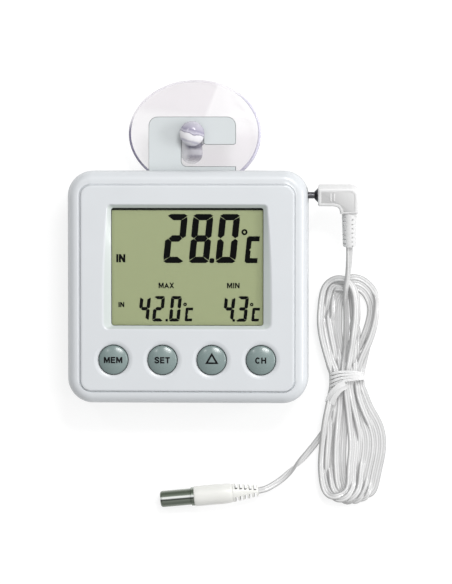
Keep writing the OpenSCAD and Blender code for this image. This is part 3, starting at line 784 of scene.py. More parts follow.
def settled(path, held):
    """Lets the winding lie: strands push each other apart, sink to the surface and keep their length."""
    spacing = np.linalg.norm(np.diff(path, axis=0), axis=1).mean()
    p, plan = path.copy(), path.copy()
    index = np.arange(len(p))
    free = ~held
    in_tie = free & (np.abs(plan[:, 1] - WAIST[1] * MM) < WAIST_REACH * MM)
    for step in range(ROUNDS):
        if step % 3 == 0:
            gap = np.sum((p[:, None, :] - p[None, :, :]) ** 2, axis=2)
            i, j = np.nonzero((gap < (1.5 * APART) ** 2) & (index[None, :] - index[:, None] > NEIGHBOURS))
        d = p[j] - p[i]
        length = np.linalg.norm(d, axis=1) + 1e-9
        near = length < APART
        push = d[near] / length[near][:, None] * ((APART - length[near]) * PUSH_SHARE)[:, None]
        shift = np.zeros_like(p)
        np.add.at(shift, i[near], -push)
        np.add.at(shift, j[near], push)
        size = np.linalg.norm(shift, axis=1)
        shift *= np.minimum(1, PUSH_MOST / np.maximum(size, 1e-9))[:, None]
        p[free] += shift[free]
        p[free, 2] -= SINK
        p[free, :2] += PLAN_PULL * (plan[free, :2] - p[free, :2])
        middle = (p[:-2] + p[2:]) / 2 - p[1:-1]
        inner = free[1:-1]
        p[1:-1][inner] += EASING * middle[inner]
        for half in (0, 1):
            a, b = index[half:-1:2], index[half:-1:2] + 1
            d = p[b] - p[a]
            length = np.linalg.norm(d, axis=1)
            fix = d * ((length - spacing) / length * 0.5)[:, None]
            p[a] += fix * free[a][:, None]
            p[b] -= fix * free[b][:, None]
        p[in_tie, 0] = np.clip(p[in_tie, 0], (WAIST[0] - WAIST_HALF) * MM, (WAIST[0] + WAIST_HALF) * MM)
        p[in_tie, 2] = np.clip(p[in_tie, 2], TIE_LOW, TIE_HIGH)
        p[free, 2] = np.maximum(p[free, 2], LOWEST)
    return p


def twin_outline():
    """The section of a flat cord of two cores side by side."""
    right = arc(LOBE_OUT, 0, LOBE_R, -LOBE_END, LOBE_END, 8)
    left = arc(-LOBE_OUT, 0, LOBE_R, 180 - LOBE_END, 180 + LOBE_END, 8)
    return right + left


def flank_shade_share():
    """For each point of the section, its painted shade: 0 along the top of a core and 1 at its flanks."""
    one_core = []
    for i in range(9):
        outward = math.cos(math.radians(-LOBE_END + LOBE_END * i / 4))
        one_core.append(abs(outward) ** 0.8 * (1 if outward > 0 else 0.55))
    return one_core + one_core


def cord_path():
    """The centreline in metres, from plug to probe, and how many points its tail was laid with."""
    lead = curve_through(LEAD_ROUTE, CORD_STEP)
    winding = curve_through(
        [tuple(LEAD_ROUTE[-1])] + [tuple(c * MM for c in p) for p in hank_route()] + [TAIL_ROUTE[0]],
        CORD_STEP,
    )
    tail = curve_through(TAIL_ROUTE, CORD_STEP)
    path = np.concatenate([lead[:-1], winding, tail[1:]])
    held = np.zeros(len(path), bool)
    held[: len(lead) - 4] = True
    held[-(len(tail) - 3):] = True
    path = settled(path, held)
    for _ in range(3):
        inner = (~held)[1:-1]
        path[1:-1][inner] += 0.5 * ((path[:-2] + path[2:]) / 2 - path[1:-1])[inner]
    return path, len(tail)


def cord_roll(path, tail_count):
    """How far the flat cord is rolled at each point: strands lean on each other like shingles."""
    travelled = np.concatenate([[0], np.cumsum(np.linalg.norm(np.diff(path, axis=0), axis=1))]) / MM
    lean = 0.42 + 0.28 * np.sin(travelled / 17.0) + 0.16 * np.sin(travelled / 6.3 + 1.3)
    lean += 0.45 * np.clip((path[:, 1] / MM + 18) / 16, 0, 1)
    lift = np.clip((path[:, 2] - 0.8 * MM) / (0.8 * MM), 0.15, 1)
    roll = -lean * lift * tangents(path)[:, 1]
    roll *= np.clip(np.arange(len(path)) / 14, 0, 1)
    start = len(path) - tail_count
    share = np.clip((np.arange(len(path)) - start) / tail_count, 0, 1)
    ending = math.pi / (1 + np.exp(-(share - 0.55) * 16))
    return roll * (1 - np.clip(share * 4, 0, 1)) + ending


def make_cord():
    """The cord's piece, its centreline and its length."""
    path, tail_count = cord_path()
    verts, faces = swept(path, twin_outline(), cord_roll(path, tail_count))
    piece = add_mesh(
        "probe_cord", verts, faces, CORD, "probe_lead",
        ("cord_lead", "cord_hank", "cord_tail"), 60,
    )
    flank_shade = piece.data.attributes.new("flank_shade", "FLOAT", "POINT")
    flank_shade.data.foreach_set("value", flank_shade_share() * len(path))
    length = float(np.linalg.norm(np.diff(path, axis=0), axis=1).sum())
    return piece, path, length


cord_piece, cord_line, cord_length = make_cord()


# ------------------------------------------------------------------ the case

CORNER_R = 9.5 * MM
CORNER_STEPS = 14
WINDOW_STEPS = 12
PANEL_INSET = 4.85 * MM
PANEL_SHIFT = -0.45 * MM
BORDER_ROUND = 3.8 * MM
BORDER_Z = FACE_Z - 0.5 * MM
WALL = 2 * MM
WINDOW_W = LENS_HI.x - LENS_LO.x - 3 * MM
WINDOW_H = LENS_HI.y - LENS_LO.y - 3 * MM


def rounded_ring(inset, z, radius=None, cy=0.0):
    """A rounded rectangle at a height, inset from the case outline."""
    half_w, half_h = CASE_W / 2 - inset, CASE_H / 2 - inset
    r = max(CORNER_R - inset, 0.4 * MM) if radius is None else radius
    out = []
    for sx, sy, start in ((1, 1, 0), (-1, 1, 90), (-1, -1, 180), (1, -1, 270)):
        out += arc(sx * (half_w - r), cy + sy * (half_h - r), r, start, start + 90, CORNER_STEPS)
    return [(x, y, z) for x, y in out]


def window_ring(z, widths, top, low, r_top, r_low):
    """The window's outline at a height. Widths are half widths at its bottom, middle and top."""
    wide_low, wide_mid, wide_top = widths

    def half(share):
        return (wide_low * (1 - share) * (1 - 2 * share) + 4 * wide_mid * share * (1 - share)
                + wide_top * share * (2 * share - 1))

    right = arc(half(0) - r_low, low + r_low, r_low, -90, 0, 6)
    for i in range(1, WINDOW_STEPS):
        share = i / WINDOW_STEPS
        right.append((half(share), low + r_low + share * (top - r_top - low - r_low)))
    right += arc(half(1) - r_top, top - r_top, r_top, 0, 90, 6)
    both = right + [(-x, y) for x, y in reversed(right)]
    return [(x * MM, WINDOW_Y + y * MM, z) for x, y in both]


def window_cutter():
    """The window's opening, straight at the display and flaring towards the face."""
    w, h = WINDOW_W / 2 / MM, WINDOW_H / 2 / MM
    levels = (
        (LENS_HI.z - 4 * MM, 0, 0, 0, 0, 0, 1.0, 1.0), (LENS_HI.z, 0, 0, 0, 0, 0, 1.0, 1.0),
        (LENS_HI.z + 0.15 * MM, 0.15, 0.12, 0.08, 0.05, 0.08, 1.0, 1.1),
        (FACE_Z - 0.28 * MM, 2.75, 2.5, 1.3, 1.15, 1.2, 1.3, 2.2),
        (FACE_Z - 0.1 * MM, 3.1, 2.9, 1.6, 1.35, 1.45, 1.5, 2.4),
        (FACE_Z + 0.02 * MM, 3.6, 3.4, 2.0, 1.7, 1.85, 1.8, 2.7),
    )
    rings = [
        window_ring(z, (w + low_x, w + mid_x, w + top_x), h + up, -h - down, r_top, r_low)
        for z, low_x, mid_x, top_x, up, down, r_top, r_low in levels
    ]
    return cutter(*loft(rings))


def panel_ring(out, drop):
    """One outline of the step between rim and panel, deeper along its left and bottom sides."""
    inset = PANEL_INSET + out * MM
    ring = rounded_ring(inset, FACE_Z, radius=max(4.1 * MM - out * MM, 0.5 * MM), cy=PANEL_SHIFT)
    half_w, half_h = CASE_W / 2 - inset, CASE_H / 2 - inset
    points = []
    for x, y, z in ring:
        low_side = min(max(-x / half_w - 0.6, (PANEL_SHIFT - y) / half_h - 0.6, 0) / 0.35, 1)
        points.append((x, y, z + drop * MM * (0.6 + 0.75 * low_side)))
    return points


def front_rings():
    """The outlines of the front shell, outside and inside, from its back edge up."""
    rings = [rounded_ring(0.15 * MM, PARTING_Z), rounded_ring(0, PARTING_Z + 0.15 * MM)]
    z0 = BORDER_Z - BORDER_ROUND
    for i in range(11):
        a = math.radians(9 * i)
        rings.append(rounded_ring(BORDER_ROUND * (1 - math.cos(a)), z0 + BORDER_ROUND * math.sin(a)))
    groove = (
        (-0.42, -0.50), (-0.28, -0.62), (-0.14, -0.80), (0.0, -0.86), (0.1, -0.76),
        (0.18, -0.46), (0.28, -0.25), (0.42, -0.10), (0.72, -0.02), (1.15, 0.0),
    )
    rings.append(rounded_ring(PANEL_INSET - 0.9 * MM, FACE_Z - 0.5 * MM))
    rings += [panel_ring(out, drop) for out, drop in groove]
    inside = [
        rounded_ring(2 * WALL, FACE_Z - WALL, radius=CORNER_R - 2 * WALL),
        rounded_ring(2 * WALL, FACE_Z - 5 * MM, radius=CORNER_R - 2 * WALL),
        rounded_ring(WALL, FACE_Z - 5.2 * MM), rounded_ring(WALL, PARTING_Z),
    ]
    return rings, inside


def front_shell():
    """The front shell with its window, button holes, jack hole and the gap for the hanger."""
    rings, inside = front_rings()
    count = len(rings[0])
    outer_v, outer_f = loft(rings, close_start=False)
    inner_v, inner_f = loft(inside, close_end=False)
    base = len(outer_v)
    faces = outer_f + [tuple(base + i for i in f) for f in inner_f]
    last = base + len(inner_v) - count
    faces += [(k, (k + 1) % count, last + (k + 1) % count, last + k) for k in range(count)]
    shell = add_mesh(
        "front_shell", outer_v + inner_v, faces, CASE, "case", ("front_cover",)
    )
    cutters = [window_cutter()]
    for node in BUTTONS:
        place = Matrix.Translation((*middle_of(node), FACE_Z))
        hole = BUTTON_R + 0.28
        profile = [(0, -4), (hole, -4), (hole, -0.64), (hole + 0.12, -0.48), (hole + 0.5, -0.29),
                   (hole + 1.0, -0.13), (hole + 1.5, -0.03), (hole + 1.9, 0.02), (0, 0.02)]
        cutters.append(cutter(*lathe(scaled(profile), place, 64)))
    jack = Matrix.Translation((CASE_HI.x - 4 * MM, JACK_Y, JACK_Z)) @ Matrix.Rotation(math.pi / 2, 4, "Y")
    cutters.append(cutter(*lathe(scaled([(0, 0), (3.1, 0), (3.1, 6), (0, 6)]), jack, 48)))
    cutters.append(cutter(*box_mesh(
        (HANGER_LO.x - 0.2 * MM, CASE_HI.y - 3 * MM, PARTING_Z - 1 * MM),
        (HANGER_HI.x + 0.2 * MM, CASE_HI.y + 1 * MM, HANGER_HI.z + 0.2 * MM),
    )))
    cut(shell, cutters)
    smooth(shell.data, 32)
    shade = shell.modifiers.new("shade", "WEIGHTED_NORMAL")
    shade.keep_sharp = True
    return shell


front_shell()
refined("rear_cover", "rear_shell", BACK, 0.25 * MM)
refined("battery_door", "battery_lid", BACK, 0.15 * MM)
# The hanger's rounded edges take painted shade, a dark outline
refined("hanger_plate", "hanger", HANGER, 0.5 * MM, 1, edge=HANGER_EDGE_SHADE)


# ------------------------------------------------------------------ display

GLASS_Z = LCD_HI.z + 0.03 * MM


def display_top_shadow():
    """A black strip round the display, standing in for the shadow of the window's edge: its top edge shows
    most, as a painted shadow.
    """
    wide = WINDOW_W / 2 - 0.12 * MM
    low, high = WINDOW_Y - WINDOW_H / 2 + 0.1 * MM, WINDOW_Y + WINDOW_H / 2 - 0.85 * MM
    inner = [(-wide, low), (wide, low), (wide, high), (-wide, high)]
    outer = [(LCD_LO.x, LCD_LO.y), (LCD_HI.x, LCD_LO.y), (LCD_HI.x, LCD_HI.y), (LCD_LO.x, LCD_HI.y)]
    z0, z1 = LCD_HI.z + 0.01 * MM, LENS_LO.z - 0.01 * MM
    edges = ((outer, z0), (outer, z1), (inner, z1), (inner, z0))
    rings = [[(x, y, z) for x, y in loop] for loop, z in edges]
    verts, faces = loft(rings, False, False)
    faces += [(12 + k, 12 + (k + 1) % 4, (k + 1) % 4, k) for k in range(4)]
    return add_mesh("display_top_shadow", verts, faces, SHADOW_STRIP, "case")


SLANT = 0.1
LIT = {
    "0": "abcdef", "2": "abged", "3": "abgcd", "4": "fbgc", "8": "abcdefg", "C": "adef",
}


def segment_shapes(w, h, t, g):
    """The seven strokes of a digit in its own box, mitred where they meet and cut at the corners."""
    m, c, e = h / 2, 0.46 * t, 0.7 * g
    top = [
        (e + c, h), (w - e - c, h), (w - e, h - c * 0.6),
        (w - t, h - t + e), (t, h - t + e), (e, h - c * 0.6),
    ]
    upper_right = [
        (w - c * 0.2, h - c), (w, h - 2 * c), (w, m + e + 0.3 * t), (w - 0.45 * t, m + e),
        (w - t, m + 0.5 * t), (w - t, h - t),
    ]
    middle = [
        (0.5 * t + e, m), (t + 0.2 * e, m + 0.5 * t), (w - t - 0.2 * e, m + 0.5 * t),
        (w - 0.5 * t - e, m), (w - t - 0.2 * e, m - 0.5 * t), (t + 0.2 * e, m - 0.5 * t),
    ]
    flip = lambda pts: [(x, h - y) for x, y in reversed(pts)]
    mirror = lambda pts: [(w - x, y) for x, y in reversed(pts)]
    return {
        "a": top, "b": upper_right, "c": flip(upper_right), "d": flip(top),
        "e": mirror(flip(upper_right)), "f": mirror(upper_right), "g": middle,
    }


def flat_strokes(name, strokes, thick=0.06 * MM):
    """Thin raised shapes on the display's glass, as one piece."""
    verts, faces = [], []
    for stroke in strokes:
        n, base = len(stroke), len(verts)
        verts += [(x * MM, y * MM, GLASS_Z) for x, y in stroke]
        verts += [(x * MM, y * MM, GLASS_Z + thick) for x, y in stroke]
        faces += [tuple(base + k for k in reversed(range(n))), tuple(base + n + k for k in range(n))]
        faces += [(base + k, base + (k + 1) % n, base + n + (k + 1) % n, base + n + k) for k in range(n)]
    return add_mesh(name, verts, faces, SEGMENT, "case", sharp=20)


def digit(symbol, x, y, w, h, t, g):
    """Strokes of one slanted digit whose lower left corner is at x, y."""
    shapes = segment_shapes(w, h, t, g)
    return [[(x + px + SLANT * py, y + py) for px, py in shapes[s]] for s in LIT[symbol]]


def dot(x, y, size):
    """A square point with its corners cut."""
    c = 0.2 * size
    return [(x + c, y), (x + size - c, y), (x + size, y + c), (x + size, y + size - c),
            (x + size - c, y + size), (x + c, y + size), (x, y + size - c), (x, y + c)]


def degree_ring(x, y, outer, inner):
    """A small ring as two half rings."""
    out = []
    for start in (0, 180):
        out.append(arc(x, y, outer, start, start + 180, 10) + arc(x, y, inner, start + 180, start, 10))
    return out


# Letters as strokes: centre lines in a box one unit high, and the width of the box
STEM = 0.2
S_CURVE = [
    (0.89, 0.70), (0.76, 0.87), (0.5, 0.92), (0.23, 0.86), (0.14, 0.72), (0.26, 0.59), (0.5, 0.52),
    (0.77, 0.42), (0.87, 0.27), (0.75, 0.13), (0.5, 0.08), (0.22, 0.13), (0.09, 0.31),
]
EDGE = STEM / 2
GLYPHS = {
    "A": (0.82, [[(0.04, 0), (0.41, 0.80), (0.78, 0)], [(0.2, 0.30), (0.62, 0.30)]]),
    "C": (0.80, "round"),
    "E": (0.68, [[(0.68, EDGE), (EDGE, EDGE), (EDGE, 1 - EDGE), (0.68, 1 - EDGE)],
                 [(EDGE, 0.52), (0.63, 0.52)]]),
    "H": (0.76, [[(EDGE, 0), (EDGE, 1)], [(0.76 - EDGE, 0), (0.76 - EDGE, 1)],
                 [(EDGE, 0.53), (0.68, 0.53)]]),
    "I": (STEM, [[(EDGE, 0), (EDGE, 1)]]),
    "M": (0.92, [[(EDGE, 0), (EDGE, 1)], [(0.92 - EDGE, 0), (0.92 - EDGE, 1)],
                 [(0.13, 0.97), (0.46, 0.22), (0.79, 0.97)]]),
    "N": (0.77, [[(EDGE, 0), (EDGE, 1)], [(0.77 - EDGE, 0), (0.77 - EDGE, 1)],
                 [(0.12, 0.93), (0.65, 0.07)]]),
    "S": (0.74, "curve"),
    "T": (0.70, [[(0, 1 - EDGE), (0.70, 1 - EDGE)], [(0.35, 0), (0.35, 1 - EDGE)]]),
    "X": (0.78, [[(0.07, 0), (0.71, 1)], [(0.07, 1), (0.71, 0)]]),
}


def glyph_lines(letter):
    """A letter's width and its centre lines."""
    width, lines = GLYPHS[letter]
    if lines == "round":
        reach = width / 2 - EDGE
        lines = [[(width / 2 + reach * x, 0.5 + (0.5 - EDGE) * y) for x, y in arc(0, 0, 1, 42, 318, 23)]]
    elif lines == "curve":
        smooth_line = curve_through([(x * width, y, 0) for x, y in S_CURVE], 0.05)
        lines = [[(x, y) for x, y, _ in smooth_line]]
    return width, lines


def ribbon(line, stroke):
    """Left and right edges of a stroke along a line, mitred at its corners."""
    fine = []
    for (ax, ay), (bx, by) in zip(line, line[1:]):
        count = max(1, int(math.hypot(bx - ax, by - ay) / 0.6))
        fine += [(ax + (bx - ax) * i / count, ay + (by - ay) * i / count) for i in range(count)]
    fine.append(line[-1])
    left, right = [], []
    for i, (x, y) in enumerate(fine):
        before = Vector(fine[i]) - Vector(fine[i - 1]) if i else Vector(fine[1]) - Vector(fine[0])
        after = Vector(fine[i + 1]) - Vector(fine[i]) if i + 1 < len(fine) else before
        before.normalize()
        after.normalize()
        n1, n2 = Vector((-before.y, before.x)), Vector((-after.y, after.x))
        mid = (n1 + n2).normalized()
        reach = stroke / 2 / max(mid.dot(n1), 0.3)
        left.append((x + mid.x * reach, y + mid.y * reach))
        right.append((x - mid.x * reach, y - mid.y * reach))
    return left, right


def words(name, text, x, y, height, width, material, body, surface, stem=STEM):
    """Sans lettering fitted to a box whose lower left corner is at x, y, in mm, laid on a surface."""
    natural = sum(GLYPHS[c][0] for c in text) + 0.14 * (len(text) - 1)
    squeeze = width / (natural * height)
    verts, faces, at = [], [], 0.0
    for letter in text:
        advance, lines = glyph_lines(letter)
        for layer, line in enumerate(lines):
            points = [(x + (at + px) * height * squeeze, y + py * height) for px, py in line]
            left, right = ribbon(points, stem * height)
            base, n = len(verts), len(left)
            for px, py in left + right:
                verts.append((px * MM, py * MM, surface(px * MM, py * MM) + layer * 0.004 * MM))
            faces += [(base + i, base + i + 1, base + n + i + 1, base + n + i) for i in range(n - 1)]
        at += advance + 0.14
    return add_mesh(name, verts, faces, material, body)


def unit_sign(x, y, w, h, t):
    """The display's C: one open bracket with a notch at its middle."""
    m, c = h / 2, 0.35 * t
    shape = [(w, h), (c, h), (0, h - c), (0, c), (c, 0), (w, 0), (w, t), (t, t), (t, m - 0.3 * t),
             (0.7 * t, m), (t, m + 0.3 * t), (t, h - t), (w, h - t)]
    return [[(x + px + SLANT * py, y + py) for px, py in shape]]


def reading(digits, x, y, size, dot_x):
    """A number with its point. Size is (width, height, stroke, gap) of a digit, in mm."""
    w, h, t, g = size
    strokes = []
    for symbol, at in zip(digits, x):
        strokes += digit(symbol, at, y, w, h, t, g)
    return strokes + [dot(dot_x, y, 0.75 * t)]


def glass(x, y):
    """The height of the display's lettering."""
    return GLASS_Z + 0.05 * MM


def display_content():
    """The three readings and the four words."""
    big = (7.6, 18.3, 2.4, 0.13)
    small = (4.0, 9.5, 1.25, 0.12)
    main = reading("280", (-9.2, 0.4, 10.4), 9.0, big, 8.25)
    main += unit_sign(21.35, 9.0, 4.75, 10.0, 1.85) + degree_ring(21.35, 20.55, 1.14, 0.46)
    flat_strokes("reading_main", main)
    high = reading("420", (-18.6, -13.3, -7.0), -12.9, small, -8.25)
    high += unit_sign(-1.1, -12.8, 2.75, 5.1, 1.0) + degree_ring(-0.9, -6.5, 0.66, 0.2)
    flat_strokes("reading_max", high)
    low = reading("43", (13.1, 18.1), -12.9, small, 16.85)
    low += unit_sign(23.9, -12.8, 2.75, 5.1, 1.0) + degree_ring(24.05, -6.5, 0.66, 0.2)
    flat_strokes("reading_min", low)
    for name, text, x, y, height, width, stem in (
        ("word_in", "IN", -26.6, 9.2, 3.05, 3.2, 0.25),
        ("word_max", "MAX", -10.8, -0.45, 2.05, 5.7, 0.2),
        ("word_min", "MIN", 14.8, -0.45, 2.05, 4.7, 0.2),
        ("word_in_small", "IN", -25.85, -7.6, 1.95, 2.1, 0.22),
    ):
        words(name, text, x, y, height, width, SEGMENT, "case", glass, stem)


display_top_shadow()
display_content()


# ------------------------------------------------------------------ buttons

DOME_R = 12.8
DOME_TOP = 1.25


def dome_height(r):
    """How far the button's top stands above the face at a distance from its middle, in mm."""
    return DOME_TOP - DOME_R + math.sqrt(DOME_R ** 2 - r * r)


def button_profile():
    """A button from its foot to the middle of its dome, in mm."""
    profile = [(0, -3.8), (1.3, -3.8), (1.3, -3.9), (6.4, -3.9), (6.4, -3.1), (BUTTON_R, -3.1),
               (BUTTON_R, -0.18), (BUTTON_R - 0.03, -0.04), (BUTTON_R - 0.12, 0.06)]
    edge = BUTTON_R - 0.25
    shares = (1, 0.95, 0.88, 0.78, 0.66, 0.52, 0.36, 0.18, 0)
    return profile + [(edge * s, dome_height(edge * s)) for s in shares]


def triangle_mark(cx, cy, dome, body):
    """An outline triangle pointing up."""
    half, low, high, stroke = 2.5, -1.35, 2.9, 0.62
    cx += 0.15 * MM
    outer = [(-half, low), (half, low), (0, high)]
    in_half = half - 1.85 * stroke
    inner = [(-in_half, low + stroke), (in_half, low + stroke), (0, high - 2.1 * stroke)]
    verts = []
    pieces = 6
    for loop in (outer, inner):
        for k in range(3):
            a, b = loop[k], loop[(k + 1) % 3]
            for i in range(pieces):
                s = i / pieces
                x, y = a[0] + (b[0] - a[0]) * s, a[1] + (b[1] - a[1]) * s
                verts.append((cx + x * MM, cy + y * MM, dome(cx + x * MM, cy + y * MM)))
    n = 3 * pieces
    faces = [(k, (k + 1) % n, n + (k + 1) % n, n + k) for k in range(n)]
    return add_mesh("mark_up", verts, faces, INK, body)


LABELS = {"button_mem": ("MEM", 6.9), "button_set": ("SET", 5.7), "button_channel": ("CH", 4.1)}


def buttons():
    """The four caps with their labels."""
    for node in BUTTONS:
        cx, cy = middle_of(node)
        body = frame["nodes"][node]["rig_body"]
        place = Matrix.Translation((cx, cy, FACE_Z))
        turned(node + "_cap", button_profile(), place, 72, BUTTON, body, (node,))

        def dome(x, y, cx=cx, cy=cy):
            return FACE_Z + (dome_height(math.hypot(x - cx, y - cy) / MM) + 0.035) * MM

        if node in LABELS:
            text, width = LABELS[node]
            words("label_" + text.lower(), text, cx / MM - width / 2, cy / MM - 1.15, 2.3, width,
                  INK, body, dome, 0.235)
        else:
            triangle_mark(cx, cy, dome, body)


buttons()


# ------------------------------------------------------------------ suction cup

CUP_LO, CUP_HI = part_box("suction_cup")
CUP_X, CUP_Y = middle_of("suction_cup")
CUP_W = CUP_HI.x - CUP_LO.x
CUP_L = CUP_HI.y - CUP_LO.y
DISC_X = CUP_X + 0.5 * MM
CUP_DROP = 9.3 * MM
CUP_TOP = 10.6 * MM


def cup_sheet_z(x, y):
    """Top of the soft disc: bowed down above and below, dished a little at its sides."""
    bow_r = ((CUP_L / 2) ** 2 + CUP_DROP ** 2) / (2 * CUP_DROP)
    bow = bow_r - math.sqrt(max(bow_r ** 2 - y * y, 0))
    dish = 1.6 * MM * (x / (CUP_W / 2)) ** 2
    return CUP_TOP - bow - dish


def cup_disc():
    """The soft disc, with its top and its underside in rings about the middle."""
    rows, around = 22, 96
    rings = []
    for side in (0, 1):
        order = range(1, rows + 1) if side == 0 else range(rows, 0, -1)
        for i in order:
            rho = i / rows
            thick = (1.5 - 0.55 * rho) * MM
            ring = []
            for k in range(around):
                a = 2 * math.pi * k / around
                x, y = CUP_W / 2 * rho * math.cos(a), CUP_L / 2 * rho * math.sin(a)
                z = cup_sheet_z(x, y) - side * thick
                if i == rows:
                    z += (0.5 - side) * -0.25 * MM
                ring.append((DISC_X + x, CUP_Y + y, max(z, 0.02 * MM)))
            rings.append(ring)
    verts, faces = loft(rings, False, False)
    for base, z, flip in ((0, CUP_TOP, False), (len(verts) - around, CUP_TOP - 1.5 * MM, True)):
        tip = len(verts)
        verts.append((DISC_X, CUP_Y, z))
        for k in range(around):
            f = (tip, base + k, base + (k + 1) % around)
            faces.append(tuple(reversed(f)) if flip else f)
    return add_mesh("cup_disc", verts, faces, CUP, "cup", ("suction_cup",), 50)


def cup_bead():
    """The rounded bead along the disc's edge, thicker at the lower right."""
    around, sides = 120, 10
    rings = []
    for k in range(around):
        a = 2 * math.pi * k / around
        x, y = CUP_W / 2 * math.cos(a), CUP_L / 2 * math.sin(a)
        r = (0.42 + 0.20 * max(0, math.cos(a + 0.5)) ** 2) * MM
        z = max(cup_sheet_z(x, y) - 0.5 * MM, r + 0.05 * MM)
        out = Vector((x / CUP_W ** 2, y / CUP_L ** 2, 0)).normalized()
        rings.append([
            Vector((DISC_X + x, CUP_Y + y, z)) + (out * (math.cos(q) - 1) + Vector((0, 0, math.sin(q)))) * r
            for q in [2 * math.pi * i / sides for i in range(sides)]
        ])
    verts, faces = loft(rings + [rings[0]], False, False)
    return add_mesh("cup_bead", verts, faces, CUP_RIM, "cup", (), 60)


def cup_stem():
    """The cup's foot, neck and round head."""
    profile = [(0, 9.6), (5.6, 9.9), (5.3, 10.3), (4.6, 10.75), (4.0, 11.4), (3.5, 12.2), (3.35, 13.2),
               (3.2, 14.6), (3.1, 16.0), (3.1, 17.1), (3.3, 17.35), (4.0, 17.4)]
    profile += arc(4.2, 17.9, 0.5, -80, 20, 5)
    profile += arc(0.9, 17.4, 3.85, 12, 88, 9)
    profile += [(0, 21.27)]
    place = Matrix.Translation((CUP_X, CUP_Y, 0))
    return turned("cup_stem", profile, place, 64, CUP_THICK, "cup", sharp=50)


def cup_neck():
    """The soft neck, leaning from the head down to the disc."""
    path = curve_through([(-0.2 * MM, 0, 17.0 * MM), (-0.4 * MM, -3.2 * MM, 14.2 * MM),
                          (-0.5 * MM, -5.8 * MM, 11.6 * MM), (-0.6 * MM, -7.2 * MM, 9.8 * MM)], 0.4 * MM)
    rings = []
    for i, (x, y, z) in enumerate(path):
        r = (3.5 + 0.7 * i / len(path)) * MM
        rings.append([(CUP_X + x + px, CUP_Y + y + py, z) for px, py in arc(0, 0, r, 0, 350, 35)])
    verts, faces = loft(rings)
    neck = add_mesh("cup_neck", verts, faces, CUP_ROOT, None, (), 60)
    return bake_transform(neck)


cup_disc()
cup_bead()
cup_stem()
cup_neck()


# ------------------------------------------------------------------ plug

SHOULDER_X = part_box("plug_collar")[1].x
PLUG_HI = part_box("plug_body")[1]
DROOP = math.radians(15)
PLUG_W = 7 * MM
LEG_W = 6.8 * MM
LEG_X = PLUG_HI.x - LEG_W / 2
LEG_END = -6.5 * MM
PLUG_OUTER_R = 3.2 * MM
PLUG_EDGE_R = 0.7 * MM
PLUG_END_R = 0.56 * MM
PLUG_FILLET = 2.8 * MM
PLUG_PLACE = Matrix.Translation((0, JACK_Y, JACK_Z)) @ Matrix.Rotation(DROOP, 4, "X")


def l_outline(grow, foot=None):
    """The plug's L in its own plane, rounded at its corners. foot is the inset at the leg's end."""
    left, right = SHOULDER_X - grow, LEG_X + LEG_W / 2 + grow
    top, bottom = PLUG_W / 2 + grow, -PLUG_W / 2 - grow
    leg_left, end = LEG_X - LEG_W / 2 - grow, LEG_END - (grow if foot is None else -foot)
    corners = [
        (left, bottom, PLUG_EDGE_R), (leg_left, bottom, PLUG_FILLET - 2 * grow),
        (leg_left, end, PLUG_END_R), (right, end, PLUG_END_R),
        (right, top, PLUG_OUTER_R), (left, top, PLUG_EDGE_R),
    ]
    return rounded_polygon(corners, grow, 5)


def rounded_polygon(corners, grow, steps):
    """A closed outline whose corners are rounded by their own radius."""
    out, n = [], len(corners)
    for i, (x, y, r) in enumerate(corners):
        here = Vector((x, y))
        before = (Vector(corners[i - 1][:2]) - here).normalized()
        after = (Vector(corners[(i + 1) % n][:2]) - here).normalized()
        r = max(r + grow, 0.1 * MM)
        start, end = here + before * r, here + after * r
        for k in range(steps + 1):
            s = k / steps
            out.append(tuple((1 - s) ** 2 * start + 2 * s * (1 - s) * here + s * s * end))
    return out


def plug_body():
    """The moulded body: its edges rounded front and back, with a shallow recess in its front."""
    half, edge = PLUG_W / 2, 0.8 * MM
    levels = []
    for a in (90, 68, 45, 22, 0):
        q = math.radians(a)
        levels.append((-edge * (1 - math.cos(q)), -half + edge * (1 - math.sin(q))))
    levels += [(grow, -z) for grow, z in reversed(levels)]
    rings = [[(x, y, z) for x, y in l_outline(grow)] for grow, z in levels]
    rings.append([(x, y, half - 0.02 * MM) for x, y in l_outline(-1.2 * MM, foot=0.84 * MM)])
    rings.append([(x, y, half - 0.3 * MM) for x, y in l_outline(-1.3 * MM, foot=0.88 * MM)])
    verts, faces = loft(rings)
    verts = [PLUG_PLACE @ Vector(v) for v in verts]
    return add_mesh("plug_shell", verts, faces, PLUG, "probe_lead", ("plug_body",), 42)


def plug_panel():
    """The duller grip panel let into the plug's front, and two raised bars on it."""
    half = PLUG_W / 2
    rings = [
        [(x, y, half - drop * MM) for x, y in l_outline(-inset * MM, foot=0.86 * MM)]
        for inset, drop in ((1.27, 0.35), (1.27, 0.18), (1.36, 0.12))
    ]
    verts, faces = loft(rings)
    verts = [PLUG_PLACE @ Vector(v) for v in verts]
    add_mesh("plug_grip_panel", verts, faces, PANEL, "probe_lead", (), 42)
    verts, faces = [], []
    for left in (4.55, 5.75):
        x0 = SHOULDER_X + left * MM
        far = (x0 + 0.55 * MM, 1.6 * MM, half + 0.08 * MM)
        bar_v, bar_f = box_mesh((x0, -1.4 * MM, half - 0.2 * MM), far)
        faces += [tuple(len(verts) + i for i in face) for face in bar_f]
        verts += [PLUG_PLACE @ Vector(v) for v in bar_v]
    bars = add_mesh("plug_grip_bars", verts, faces, PLUG, "probe_lead", (), 42)
    return bevelled(bars, 0.12 * MM)


